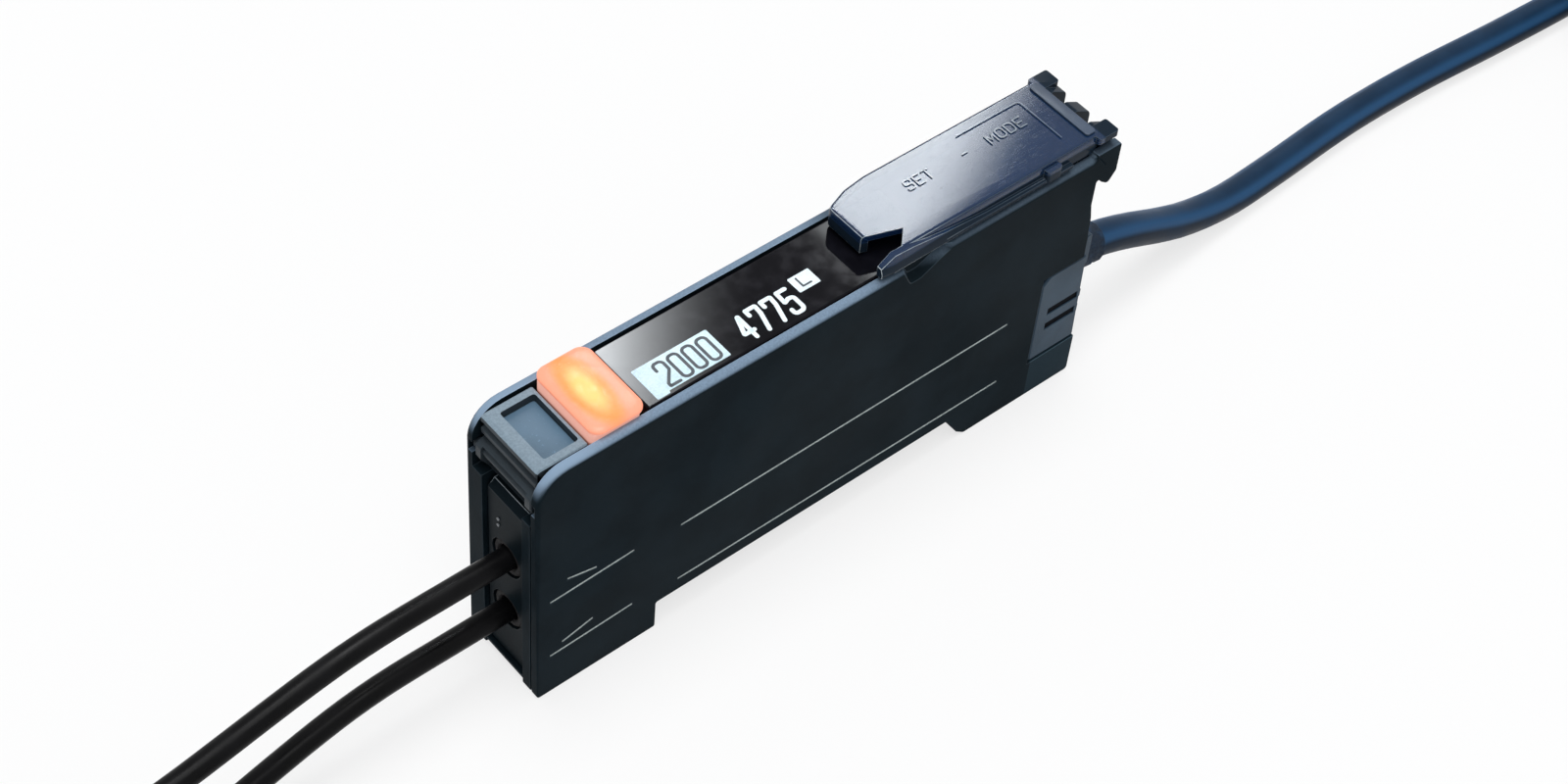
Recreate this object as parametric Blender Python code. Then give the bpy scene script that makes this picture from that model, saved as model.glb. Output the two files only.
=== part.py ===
"""Fibre optic sensor amplifier: a slim rail-mounted housing with two plastic fibres in
front, a lock lever, a lit lens, a display window, four keys under a hinged clear cover,
and a plug with its lead at the rear.  Metres, +Z up, +X to the rear, -Y the lettered side.
"""
import math

import bmesh
import bpy
from mathutils import Matrix, Vector

MM = 0.001

# Housing
BODY_WIDTH = 10.0 * MM       # across both side walls
BODY_LENGTH = 63.4 * MM      # front face to rear wall
TAIL_LENGTH = 1.5 * MM       # how far the foot stands out behind the rear wall
RIM_HEIGHT = 30.5 * MM       # underside of the feet to the top of the side rims
SIDE_WALL = 0.9 * MM         # thin side walls round the window and the lever
REAR_WALL = 1.3 * MM
FRONT_CORNER_R = 3.2 * MM    # big round at the front of the rims
RIM_ROUND = 0.58 * MM        # rounding along the top outer edges
EDGE_ROUND = 0.12 * MM       # rounding along the other outer edges
SEAM = 0.2 * MM              # gap between fitted pieces
FACE_GAP = 0.3 * MM          # gap between pieces that rest face to face
SHELF_DROP = 6.6 * MM        # rims to the floor of the lever chamber
BLOCK_BAY = 12.0 * MM        # depth of the bay that takes the fibre block
BAY_HALF = 2.8 * MM          # half width of that bay
BAY_FLOOR = 0.8 * MM         # the front foot is this much hollowed between the walls
PARTITION = 1.0 * MM         # wall between the fibre bay and the electronics
FLOOR_WALL = 1.2 * MM        # bottom wall above the rail notch and the rear foot
# Rail notch
FRONT_FOOT = 13.2 * MM
RAIL_GAP = 35.2 * MM         # takes a 35 mm rail
NOTCH_DEPTH = 3.55 * MM
NOTCH_LEAD_IN = 1.7 * MM     # slanted rear end of the notch
HOOK_REACH = 1.0 * MM        # lips that hold the rail's flanges
HOOK_THICK = 1.1 * MM
HOOK_GRIP = 1.45 * MM        # space for the flange above the lips
HOOK_HALF = 2.2 * MM
# Near side's marks
SCOOP_DEPTH = 2.5 * MM       # finger recess in the near rim, at the cover's front
GROOVE_HIGH = 13.3 * MM
GROOVE_LOW = 5.4 * MM
# Hinge at the rear
PIN_BEHIND = 1.2 * MM        # pin behind the rear wall, and below the rims
PIN_DROP = 1.3 * MM
PIN_R = 0.5 * MM
EAR_REACH = 1.3 * MM         # ear behind and before the pin
EAR_RISE = 1.6 * MM
EAR_DROP = 3.2 * MM
KNUCKLE_R = 1.15 * MM
KNUCKLE_WIDTH = 1.5 * MM
SHAFT_PLAY = 0.12 * MM       # radial play of turning shafts
# Fibres
FIBRE_D = 2.2 * MM
FIBRE_Z_LOW = 7.7 * MM
FIBRE_PITCH = 7.4 * MM
BORE_PLAY = 0.3 * MM         # radial play of a fibre in the block
BLOCK_INSET = 0.4 * MM       # the block's face lies behind the front edge
SEAL_WIDTH = 0.7 * MM
SEAL_LENGTH = 1.0 * MM
CLAMP_X = 4.0 * MM
CLAMP_THICK = 1.0 * MM
CLAMP_HALF = 2.0 * MM
CLAMP_STROKE = 0.4 * MM
# Lock lever
LEVER_PIVOT_X = 0.9 * MM
LEVER_PIVOT_DROP = 4.1 * MM
LEVER_REAR = 6.05 * MM
LEVER_TOP_DROP = 0.2 * MM
TRUNNION_R = 0.55 * MM
TRUNNION_REACH = 0.35 * MM   # how far the trunnions stand into the side walls
LEVER_POCKET_DEPTH = 1.2 * MM
LEVER_FRAME = 0.8 * MM
# Lens and window
LENS_X = 6.4 * MM
LENS_LENGTH = 5.6 * MM
LENS_INSET = 0.65 * MM       # from the housing's sides
LENS_THICK = 0.9 * MM
LENS_CORNER_R = 1.5 * MM
KEY_PANEL_SPACE = 19.2 * MM  # from the window's rear edge to the rear wall
DISPLAY_SPARE = 7.9 * MM     # window's length behind the display
WINDOW_THICK = 1.3 * MM
GLASS_DROP = 0.2 * MM        # window and key panel lie this much below the rims
# Boards and inner parts
BOARD_THICK = 0.8 * MM
UPPER_BOARD_DROP = 5.1 * MM
MAIN_BOARD_INSET = 2.5 * MM
OPTIC_R = 1.5 * MM
OPTIC_BODY = 4.6 * MM
# Keys
PANEL_THICK = 1.0 * MM
KEY_LENGTH = 3.2 * MM
KEY_WIDTH = 3.0 * MM
KEY_Y = -0.9 * MM
KEY_RISE = 1.0 * MM
KEY_TRAVEL = 0.25 * MM
KEY_SETBACKS = {"set": 15.7 * MM, "plus": 11.8 * MM, "minus": 8.4 * MM, "mode": 4.5 * MM}
SWITCH_SIZE = 2.8 * MM
SWITCH_BODY = 1.1 * MM
# Clear cover
COVER_LENGTH = 25.9 * MM
COVER_RISE = 2.3 * MM        # above the rims
COVER_WALL = 0.7 * MM
COVER_INSET = 0.65 * MM      # from the housing's sides
LIP_OUT = 0.55 * MM
LIP_THICK = 0.6 * MM
LIP_FRONT_RISE = 1.5 * MM
NUB_SETBACK = 6.0 * MM
# Plug and lead
PLUG_DEPTH = 4.5 * MM        # bay's depth into the housing
PLUG_REACH = 1.3 * MM        # plug's reach behind the rear wall
PLUG_BOTTOM = 5.1 * MM
PLUG_TOP = 16.6 * MM
PLUG_FLANGE_RISE = 2.5 * MM
TONGUE_INSET = 1.9 * MM      # from the near wall, and clear of the main board
TONGUE_GAP = 1.3 * MM
LEAD_D = 3.6 * MM
LEAD_Z = 11.9 * MM
BOOT_LENGTH = 5.6 * MM
BOOT_D = 5.6 * MM
BOOT_DIP = 1.5 * MM
CORE_D = 1.1 * MM
LEAD_TAIL = 42.0 * MM        # jacketed end on top of the hank
CORE_RUN = 14.0 * MM         # bared cores beyond the jacket
# Put-away cords
FIBRE_HANK_TURNS = (4, 4)    # turns beside and on each other
LEAD_HANK_TURNS = (2, 5)
FIBRE_HANK_RUN = 33.0 * MM
LEAD_HANK_RUN = 57.0 * MM
HANK_FOLD = 3.0              # inner fold radius in cord diameters
FIBRE_HANK_X = -51.0 * MM
LEAD_HANK_X = 160.0 * MM
STRAIGHT_RUN = 11.0 * MM     # the fibres leave the housing level
LOWER_TAIL = 16.0 * MM       # from each hank to its sensing head
UPPER_TAIL = 28.0 * MM
REST = 0.05 * MM             # cords lie this much above what carries them
HEAD_LENGTH = 17.0 * MM
HEAD_R = 2.0 * MM
NUT_FLATS = 7.0 * MM
NUT_THICK = 2.4 * MM

HALF = BODY_WIDTH / 2
INNER_HALF = HALF - SIDE_WALL
TAIL_X = BODY_LENGTH + TAIL_LENGTH + 0.1 * MM
PIN_X = BODY_LENGTH + PIN_BEHIND
PIN_Z = RIM_HEIGHT - PIN_DROP
TOTAL_LENGTH = PIN_X + EAR_REACH
SHELF_Z = RIM_HEIGHT - SHELF_DROP
LEVER_PIVOT_Z = RIM_HEIGHT - LEVER_PIVOT_DROP
LEVER_TOP = RIM_HEIGHT - LEVER_TOP_DROP
TRUNNION_END = INNER_HALF + TRUNNION_REACH
LENS_HALF = HALF - LENS_INSET
WINDOW_REAR = BODY_LENGTH - KEY_PANEL_SPACE
UPPER_BOARD_Z = RIM_HEIGHT - UPPER_BOARD_DROP
MAIN_BOARD_Y = INNER_HALF - MAIN_BOARD_INSET
TONGUE_Y = (TONGUE_INSET - INNER_HALF, MAIN_BOARD_Y - TONGUE_GAP)
KEY_PLACES = {name: BODY_LENGTH - back for name, back in KEY_SETBACKS.items()}
COVER_REAR = BODY_LENGTH - 0.1 * MM
COVER_FRONT = COVER_REAR - COVER_LENGTH
COVER_TOP = RIM_HEIGHT + COVER_RISE
COVER_HALF = HALF - COVER_INSET
NUB_X = COVER_REAR - NUB_SETBACK
PLUG_FRONT = BODY_LENGTH - PLUG_DEPTH
PLUG_REAR = BODY_LENGTH + PLUG_REACH
NOTCH_END = FRONT_FOOT + RAIL_GAP
GLASS_Z = RIM_HEIGHT - GLASS_DROP
COVER_BASE = RIM_HEIGHT + FACE_GAP
FIBRE_ZS = {"lower": FIBRE_Z_LOW, "upper": FIBRE_Z_LOW + FIBRE_PITCH}
BAY_BOTTOM = BAY_FLOOR + 0.3 * MM

MATERIALS = {
    "housing_plastic": ((0.012, 0.019, 0.025), 0.55, 0.0, 1.0),
    "dark_plastic": ((0.01, 0.012, 0.015), 0.5, 0.0, 1.0),
    "slate_plastic": ((0.06, 0.09, 0.12), 0.5, 0.0, 1.0),
    "lever_plastic": ((0.30, 0.40, 0.50), 0.45, 0.0, 1.0),
    "lens_plastic": ((0.95, 0.35, 0.16), 0.3, 0.0, 1.0),
    "window_plastic": ((0.02, 0.02, 0.025), 0.1, 0.0, 0.6),
    "clear_plastic": ((0.45, 0.52, 0.6), 0.08, 0.0, 0.45),
    "display_glass": ((0.55, 0.75, 0.85), 0.2, 0.0, 1.0),
    "board_green": ((0.02, 0.12, 0.06), 0.5, 0.0, 1.0),
    "switch_metal": ((0.6, 0.6, 0.6), 0.35, 1.0, 1.0),
    "led_clear": ((0.9, 0.3, 0.2), 0.15, 0.0, 1.0),
    "chip_black": ((0.015, 0.015, 0.015), 0.45, 0.0, 1.0),
    "seal_rubber": ((0.01, 0.01, 0.01), 0.8, 0.0, 1.0),
    "pin_steel": ((0.6, 0.6, 0.62), 0.3, 1.0, 1.0),
    "fibre_jacket": ((0.008, 0.008, 0.009), 0.35, 0.0, 1.0),
    "lead_jacket": ((0.01, 0.018, 0.03), 0.4, 0.0, 1.0),
    "nickel": ((0.7, 0.68, 0.62), 0.25, 1.0, 1.0),
    "core_brown": ((0.16, 0.06, 0.03), 0.5, 0.0, 1.0),
    "core_blue": ((0.02, 0.10, 0.45), 0.5, 0.0, 1.0),
    "core_black": ((0.01, 0.01, 0.01), 0.5, 0.0, 1.0),
    "core_pink": ((0.8, 0.3, 0.4), 0.5, 0.0, 1.0),
}


# Outlines
def fillet(points, per_turn=24):
    """The closed outline through points (u, v, radius), with an arc at each corner."""
    out = []
    n = len(points)
    for i in range(n):
        p = Vector(points[i][:2])
        r = points[i][2]
        a = (Vector(points[i - 1][:2]) - p)
        b = (Vector(points[(i + 1) % n][:2]) - p)
        if r <= 0 or a.length == 0 or b.length == 0:
            out.append(p)
            continue
        a.normalize()
        b.normalize()
        half = a.angle(b) / 2
        if half > math.pi / 2 - 0.02:
            out.append(p)
            continue
        reach = r / math.tan(half)
        centre = p + (a + b).normalized() * (r / math.sin(half))
        start, end = p + a * reach - centre, p + b * reach - centre
        sweep = start.angle_signed(end)
        steps = max(2, round(abs(sweep) / (2 * math.pi) * per_turn))
        for k in range(steps + 1):
            turned = start.copy()
            turned.rotate(Matrix.Rotation(-sweep * k / steps, 2))
            out.append(centre + turned)
    return out


def round_rect(u0, u1, v0, v1, r, per_turn=12):
    return fillet([(u0, v0, r), (u1, v0, r), (u1, v1, r), (u0, v1, r)], per_turn)


def circle(u, v, r, sides, start=0.0):
    return [Vector((u + r * math.cos(start + 2 * math.pi * k / sides),
                    v + r * math.sin(start + 2 * math.pi * k / sides))) for k in range(sides)]


def area(outline):
    return sum(a.x * b.y - b.x * a.y for a, b in zip(outline, outline[1:] + outline[:1])) / 2


def inset(outline, amount):
    """The outline moved inwards by amount(point)."""
    if area(outline) < 0:
        outline = outline[::-1]
    out = []
    for i, p in enumerate(outline):
        e1 = (p - outline[i - 1]).normalized()
        e2 = (outline[(i + 1) % len(outline)] - p).normalized()
        n1, n2 = Vector((-e1.y, e1.x)), Vector((-e2.y, e2.x))
        out.append(p + (n1 + n2) / (1 + n1.dot(n2)) * amount(p))
    return out


def shrunk(corners, amount):
    """Corners (u, v, radius) of the outline that lies a wall's thickness inside."""
    inner = inset([Vector(c[:2]) for c in corners], lambda p: amount)
    turned_round = area([Vector(c[:2]) for c in corners]) < 0
    radii = [c[2] for c in (corners[::-1] if turned_round else corners)]
    return [(p.x, p.y, max(0, r - amount)) for p, r in zip(inner, radii)]


# Solids
def loft(name, rings, material=None, smooth=35.0):
    """A closed solid through rings of equally many points, with a cap on each end."""
    bm = bmesh.new()
    rows = [[bm.verts.new(p) for p in ring] for ring in rings]
    n = len(rows[0])
    for low, high in zip(rows, rows[1:]):
        for k in range(n):
            bm.faces.new((low[k], low[(k + 1) % n], high[(k + 1) % n], high[k]))
    bm.faces.new(rows[0][::-1])
    bm.faces.new(rows[-1])
    return solid(name, bm, material, smooth)


def solid(name, bm, material=None, smooth=35.0):
    bmesh.ops.recalc_face_normals(bm, faces=bm.faces)
    if bm.calc_volume(signed=True) < 0:
        bmesh.ops.reverse_faces(bm, faces=bm.faces)
    mesh = bpy.data.meshes.new(name)
    bm.to_mesh(mesh)
    bm.free()
    obj = bpy.data.objects.new(name, mesh)
    bpy.context.scene.collection.objects.link(obj)
    if smooth:
        mesh.shade_smooth()
        mesh.set_sharp_from_angle(angle=math.radians(smooth))
    if material:
        mesh.materials.append(bpy.data.materials[material])
    else:
        obj.hide_render = True
        obj.display_type = "WIRE"
    return obj


def along(axis):
    """How an outline's (u, v) and a height w lie in space, for a prism along that axis."""
    return {
        "x": lambda u, v, w: Vector((w, u, v)),
        "y": lambda u, v, w: Vector((u, w, v)),
        "z": lambda u, v, w: Vector((u, v, w)),
    }[axis]


def prism(name, axis, outline, w0, w1, material=None, ease=0.0):
    """The outline drawn out along the axis, its two end edges eased by a small chamfer."""
    at = along(axis)
    rings = [[at(p.x, p.y, w) for p in outline] for w in (w0, w1)]
    if ease:
        small = inset(outline, lambda p: ease)
        full = outline if area(outline) > 0 else outline[::-1]
        rings = [[at(p.x, p.y, w) for p in line] for line, w in
                 ((small, w0), (full, w0 + ease), (full, w1 - ease), (small, w1))]
    return loft(name, rings, material)


def block(name, x0, x1, y0, y1, z0, z1, material=None, r=0.0, ease=0.0, axis="z"):
    """A box with its edges along one axis rounded and its end edges eased."""
    spans = {"z": (x0, x1, y0, y1, z0, z1), "y": (x0, x1, z0, z1, y0, y1),
             "x": (y0, y1, z0, z1, x0, x1)}[axis]
    outline = round_rect(*spans[:4], r) if r else [
        Vector(c) for c in ((spans[0], spans[2]), (spans[1], spans[2]),
                            (spans[1], spans[3]), (spans[0], spans[3]))]
    return prism(name, axis, outline, spans[4], spans[5], material, ease)


def rod(name, axis, centre, r, w0, w1, sides=24, material=None, ease=0.0):
    return prism(name, axis, circle(*centre, r, sides), w0, w1, material, ease)


def turned(name, axis, profile, sides, material=None):
    """A solid of revolution round the axis line: profile gives (along, radius) pairs.
    A closed ring when no radius is zero, otherwise a solid piece."""
    ring = all(r > 0 for _, r in profile)
    bm = bmesh.new()
    place = {"x": lambda w, a, b: (w, a, b), "z": lambda w, a, b: (a, b, w)}[axis]
    rows = []
    for w, r in profile:
        if r == 0:
            rows.append([bm.verts.new(place(w, 0, 0))] * sides)
        else:
            rows.append([bm.verts.new(place(w, r * math.cos(2 * math.pi * k / sides),
                                            r * math.sin(2 * math.pi * k / sides)))
                         for k in range(sides)])
    pairs = list(zip(rows, rows[1:])) + ([(rows[-1], rows[0])] if ring else [])
    for low, high in pairs:
        for k in range(sides):
            quad = [low[k], low[(k + 1) % sides], high[(k + 1) % sides], high[k]]
            corners = list(dict.fromkeys(quad))
            if len(corners) > 2:
                bm.faces.new(corners)
    return solid(name, bm, material)


def combine(obj, others, how):
    """Boolean modifiers that cut the others from obj or add them to it."""
    for other in others:
        other.hide_render = True
        other.display_type = "WIRE"
        other.hide_set(True)
        mod = obj.modifiers.new(f"{how.lower()} {other.name}", "BOOLEAN")
        mod.operation = how
        mod.solver = "EXACT"
        mod.object = other
    return obj


def cut(obj, *others):
    return combine(obj, others, "DIFFERENCE")


def add(obj, *others):
    return combine(obj, others, "UNION")


def seat(obj, x, y, z):
    """Moves the object's origin to a point that means something for the piece."""
    shift = Vector((x, y, z))
    obj.data.transform(Matrix.Translation(-shift))
    obj.location = shift
    return obj


# Housing
def ear_corners():
    """Rear top of a side wall: the hinge ear behind it, hooked at its lower end."""
    rear, front = PIN_X + EAR_REACH, BODY_LENGTH - 0.6 * MM
    low = PIN_Z - EAR_DROP
    return [
        (BODY_LENGTH, PIN_Z - 1.7 * MM, 0.2 * MM),
        (PIN_X - 0.5 * MM, low + 0.7 * MM, 0.3 * MM),
        (PIN_X + 0.4 * MM, low, 0.4 * MM),
        (rear, low + 1.3 * MM, 0.4 * MM),
        (rear, PIN_Z + EAR_RISE, 0.35 * MM),
        (front, PIN_Z + EAR_RISE, 0.2 * MM),
        (front - 0.3 * MM, RIM_HEIGHT - 0.2 * MM, 0.2 * MM),
    ]


def side_outline():
    """The housing seen from the side, with the rail notch and the hinge ear."""
    tip = NOTCH_END + NOTCH_LEAD_IN
    strip = PIN_Z - EAR_DROP - PLUG_TOP
    return fillet([
        (0, 0, 0.3 * MM),
        (FRONT_FOOT, 0, 0.25 * MM),
        (FRONT_FOOT, NOTCH_DEPTH, 0.2 * MM),
        (NOTCH_END - 0.1 * MM, NOTCH_DEPTH, 0.25 * MM),
        (tip, 0.8 * MM, 0.3 * MM),
        (tip + 1.0 * MM, 0, 0.5 * MM),
        (TAIL_X, 0, 0.4 * MM),
        (TAIL_X, PLUG_BOTTOM - SEAM, 0.3 * MM),
        (PLUG_REAR - 0.2 * MM, PLUG_BOTTOM + 0.5 * MM, 0.2 * MM),
        (BODY_LENGTH + 0.6 * MM, PLUG_TOP + SEAM, 0.2 * MM),
        (BODY_LENGTH + 0.35 * MM, PLUG_TOP + 0.6 * strip, 0.4 * MM),
        (BODY_LENGTH, PLUG_TOP + 0.8 * strip, 0.4 * MM),
        *ear_corners(),
        (0, RIM_HEIGHT, FRONT_CORNER_R),
    ], 26)


def outer_round(p):
    """Rounding of the outer side edge at an outline point: wide along the top."""
    rise = min(1.0, max(0.0, (p.y - (RIM_HEIGHT - 6 * MM)) / (4 * MM)))
    behind = p.x > BODY_LENGTH - 0.5 * MM
    return EDGE_ROUND if behind else EDGE_ROUND + (RIM_ROUND - EDGE_ROUND) * rise


def side_shell(name, inner_y, outer_y, material):
    """A side of the housing: the outline drawn out in Y, with its outer rim rounded."""
    outline = side_outline()
    if area(outline) < 0:
        outline.reverse()
    way = 1 if outer_y > inner_y else -1
    rings = [[Vector((p.x, inner_y, p.y)) for p in outline]]
    for step in range(4):
        angle = math.pi / 2 * step / 3
        line = inset(outline, lambda p: outer_round(p) * (1 - math.cos(angle)))
        rings.append([Vector((q.x, outer_y - way * outer_round(p) * (1 - math.sin(angle)), q.y))
                      for p, q in zip(outline, line)])
    return loft(name, rings, material, 40)


def plug_bay(margin):
    return block("plug_bay", PLUG_FRONT - margin, TAIL_X + 2 * MM, -HALF - MM, HALF + MM,
                 PLUG_BOTTOM - margin, PLUG_TOP + margin)


def trunnion_notch(name, inner, outer):
    """Open-front slot in a side wall that holds a trunnion of the lock lever."""
    r = TRUNNION_R + SHAFT_PLAY
    outline = fillet([
        (-MM, LEVER_PIVOT_Z - r, 0), (LEVER_PIVOT_X + r, LEVER_PIVOT_Z - r, r * 0.98),
        (LEVER_PIVOT_X + r, LEVER_PIVOT_Z + r, r * 0.98), (-MM, LEVER_PIVOT_Z + r, 0)])
    return prism(name, "y", outline, inner, outer)


def make_casing():
    """Far wall, floor, rear wall and the thick front that holds the fibre block."""
    near = -INNER_HALF + SEAM
    body = side_shell("casing", near, HALF, "housing_plastic")
    bay_end = BLOCK_BAY + PARTITION
    floor = NOTCH_DEPTH + FLOOR_WALL
    rear = BODY_LENGTH - SEAM - REAR_WALL
    top = RIM_HEIGHT + 2 * MM
    step = NOTCH_END + NOTCH_LEAD_IN
    foot = rear - step
    cavity = prism("casing_cavity", "y", fillet([
        (bay_end, floor, 0.6 * MM), (step + 0.1 * foot, floor, 0.04 * foot),
        (step + 0.29 * foot, FLOOR_WALL, 0.04 * foot),
        (rear, FLOOR_WALL, 0.05 * foot), (rear, top, 0), (-2 * MM, top, 0),
        (-2 * MM, SHELF_Z, 0), (bay_end, SHELF_Z, 0.4 * MM)]), near - MM, INNER_HALF)
    bay = prism("casing_bay", "y", fillet([
        (-MM, BAY_BOTTOM, 0), (FRONT_FOOT - FLOOR_WALL, BAY_BOTTOM, 0.2 * MM),
        (FRONT_FOOT - FLOOR_WALL, floor, 0.2 * MM), (BLOCK_BAY, floor, 0.2 * MM),
        (BLOCK_BAY, SHELF_Z + MM, 0), (-MM, SHELF_Z + MM, 0)]), -BAY_HALF, BAY_HALF)
    foot_channel = block("casing_foot_channel", -MM, FRONT_FOOT - FLOOR_WALL, -BAY_HALF,
                         BAY_HALF, -MM, BAY_FLOOR)
    behind = block("casing_hinge_gap", BODY_LENGTH - SEAM, TOTAL_LENGTH + MM, near - MM,
                   INNER_HALF, PIN_Z - EAR_DROP - 1.2 * MM, top)
    optics = [rod(f"casing_optic_hole_{n}", "x", (0, z), OPTIC_R + SEAM, BLOCK_BAY - MM,
                  bay_end + MM, 16) for n, z in FIBRE_ZS.items()]
    pin_hole = rod("casing_pin_hole", "y", (PIN_X, PIN_Z), PIN_R + SHAFT_PLAY,
                   INNER_HALF - MM, INNER_HALF + 0.65 * SIDE_WALL, 16)
    notch = trunnion_notch("casing_trunnion_notch", INNER_HALF - MM,
                           TRUNNION_END + SHAFT_PLAY)
    cut(body, cavity, bay, foot_channel, behind, *optics, plug_bay(SEAM), pin_hole, notch)
    lip_top = NOTCH_DEPTH - HOOK_GRIP
    lip_low = lip_top - HOOK_THICK
    front_hook = prism("casing_hook_front", "y", fillet([
        (FRONT_FOOT - MM, lip_low - 0.6 * MM, 0), (FRONT_FOOT, lip_low - 0.6 * MM, 0),
        (FRONT_FOOT + HOOK_REACH, lip_low + 0.3 * MM, 0.2 * MM),
        (FRONT_FOOT + HOOK_REACH, lip_top, 0.1 * MM), (FRONT_FOOT - MM, lip_top, 0)]),
        -HOOK_HALF, HOOK_HALF)
    rear_hook = prism("casing_hook_rear", "y", fillet([
        (NOTCH_END - 0.6 * HOOK_REACH, lip_low + 0.3 * MM, 0.2 * MM),
        (NOTCH_END + NOTCH_LEAD_IN, 0.85 * MM, 0), (NOTCH_END + NOTCH_LEAD_IN + 1.2 * MM, 2 * MM, 0),
        (NOTCH_END + NOTCH_LEAD_IN, lip_top, 0),
        (NOTCH_END - 0.6 * HOOK_REACH, lip_top, 0.1 * MM)]), -HOOK_HALF, HOOK_HALF)
    add(body, front_hook, rear_hook)
    seat(body, 0, 0, 0)


def groove(name, a, b, width=0.28 * MM, depth=0.13 * MM):
    """A shallow straight groove between two points of the lettered side."""
    a, b = Vector(a), Vector(b)
    side = (b - a).normalized().orthogonal() * width / 2
    return prism(name, "y", [a - side, b - side, b + side, a + side], -HALF - MM, -HALF + depth)


def make_side_cover():
    """Near wall: rounded rim, finger scoop under the cover's lip, grooves, trunnion slot."""
    plate = side_shell("side_cover", -INNER_HALF, -HALF, "housing_plastic")
    x, z = COVER_FRONT + 2 * MM, RIM_HEIGHT
    low = z - SCOOP_DEPTH
    scoop_line = fillet([
        (x - 0.4 * MM, z + MM, 0), (x - 0.1 * MM, z - 0.3 * MM, 0.3 * MM),
        (x + MM, low, 0.5 * MM), (x + 2.2 * MM, low, 0.8 * MM),
        (x + 4.6 * MM, low + SCOOP_DEPTH / 2, 2 * MM), (x + 8.1 * MM, z + 0.1 * MM, 0),
        (x + 8.1 * MM, z + MM, 0)])
    scoop = loft("side_cover_scoop", [
        [Vector((p.x, -HALF - 0.5 * MM, p.y - 0.4 * MM)) for p in scoop_line],
        [Vector((p.x, -INNER_HALF - 0.2 * MM, p.y + 1.1 * MM)) for p in scoop_line]])
    pin_hole = rod("side_cover_pin_hole", "y", (PIN_X, PIN_Z), PIN_R + SHAFT_PLAY,
                   -INNER_HALF - 0.65 * SIDE_WALL, -INNER_HALF + MM, 16)
    notch = trunnion_notch("side_cover_trunnion_notch", -TRUNNION_END - SHAFT_PLAY,
                           -INNER_HALF + MM)
    short, start, end = FRONT_FOOT - 2.8 * MM, FRONT_FOOT + 2.4 * MM, PLUG_FRONT - 4.3 * MM
    high, low = GROOVE_HIGH, GROOVE_LOW
    lines = {
        "front_high": ((1.4 * MM, high), (short, high + 0.3 * MM)),
        "front_low": ((1.4 * MM, low), (short, low + 0.3 * MM)),
        "front_high_mark": ((3.2 * MM, high + 2 * MM), (6.3 * MM, high + 1.2 * MM)),
        "front_low_mark": ((2.7 * MM, low + 1.1 * MM), (6.0 * MM, low + 1.9 * MM)),
        "long_high": ((start, high - 0.2 * MM), (end, high + 0.1 * MM)),
        "long_low": ((start, low - 0.2 * MM), (end, low - 0.2 * MM)),
    }
    grooves = [groove(f"side_cover_groove_{n}", a, b) for n, (a, b) in lines.items()]
    cut(plate, plug_bay(SEAM), scoop, pin_hole, notch, *grooves)
    seat(plate, 0, -HALF, 0)


# Fibre bay
def make_fibre_block():
    """Moulding with the two fibre bores, seal seats and the slot of the clamp plate."""
    half = BAY_HALF - SEAM
    low, high = BAY_BOTTOM + SEAM, SHELF_Z - 0.6 * MM
    x0, x1 = BLOCK_INSET, BLOCK_BAY - SEAM
    heel = FRONT_FOOT - FLOOR_WALL - SEAM
    step = NOTCH_DEPTH + FLOOR_WALL + SEAM
    body = prism("fibre_block", "y", fillet([
        (x0, low, 0.2 * MM), (heel, low, 0.2 * MM), (heel, step, 0.4 * MM),
        (x1, step, 0.2 * MM), (x1, high, 0.2 * MM),
        (x0 + 0.7 * MM, high, 0), (x0, high - 0.7 * MM, 0)]), -half, half,
        "housing_plastic", 0.15 * MM)
    bores = [rod(f"block_bore_{n}", "x", (0, z), FIBRE_D / 2 + BORE_PLAY, -MM, x1 + MM, 16)
             for n, z in FIBRE_ZS.items()]
    seats = [rod(f"block_seal_seat_{n}", "x", (0, z), FIBRE_D / 2 + BORE_PLAY / 2 + SEAL_WIDTH
                 + SEAM / 2, -MM, x0 + 0.15 * MM + SEAL_LENGTH + SEAM, 16)
             for n, z in FIBRE_ZS.items()]
    slot = block("block_clamp_slot", CLAMP_X - SEAM, CLAMP_X + CLAMP_THICK + SEAM,
                 -CLAMP_HALF - SEAM, CLAMP_HALF + SEAM, FIBRE_Z_LOW - 3.2 * MM, high + MM)
    cut(body, *bores, *seats, slot)
    for n, z in FIBRE_ZS.items():
        inner = FIBRE_D / 2 + BORE_PLAY / 2
        a, b = x0 + 0.15 * MM, x0 + 0.15 * MM + SEAL_LENGTH
        outer = inner + SEAL_WIDTH
        ring = turned(f"fibre_seal_{n}", "x", [
            (a, inner + 0.2 * MM), (a + 0.2 * MM, inner), (b, inner), (b, outer),
            (a + 0.15 * MM, outer), (a, outer - 0.15 * MM)], 16, "seal_rubber")
        ring.location.z = z


def make_clamp_plate():
    """Slide plate whose two windows pinch the fibres when the lever is down."""
    window_r = FIBRE_D / 2 + CLAMP_STROKE / 2 + BORE_PLAY
    low = FIBRE_Z_LOW - 2.9 * MM
    plate = block("clamp_plate", CLAMP_X, CLAMP_X + CLAMP_THICK, -CLAMP_HALF, CLAMP_HALF,
                  low, SHELF_Z - 0.75 * MM, "dark_plastic", r=0.4 * MM, axis="x")
    cut(plate, *[rod(f"clamp_window_{n}", "x", (0, z - CLAMP_STROKE / 2), window_r,
                     CLAMP_X - MM, CLAMP_X + CLAMP_THICK + MM, 16) for n, z in FIBRE_ZS.items()])
    seat(plate, CLAMP_X + CLAMP_THICK / 2, 0, low)


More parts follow.
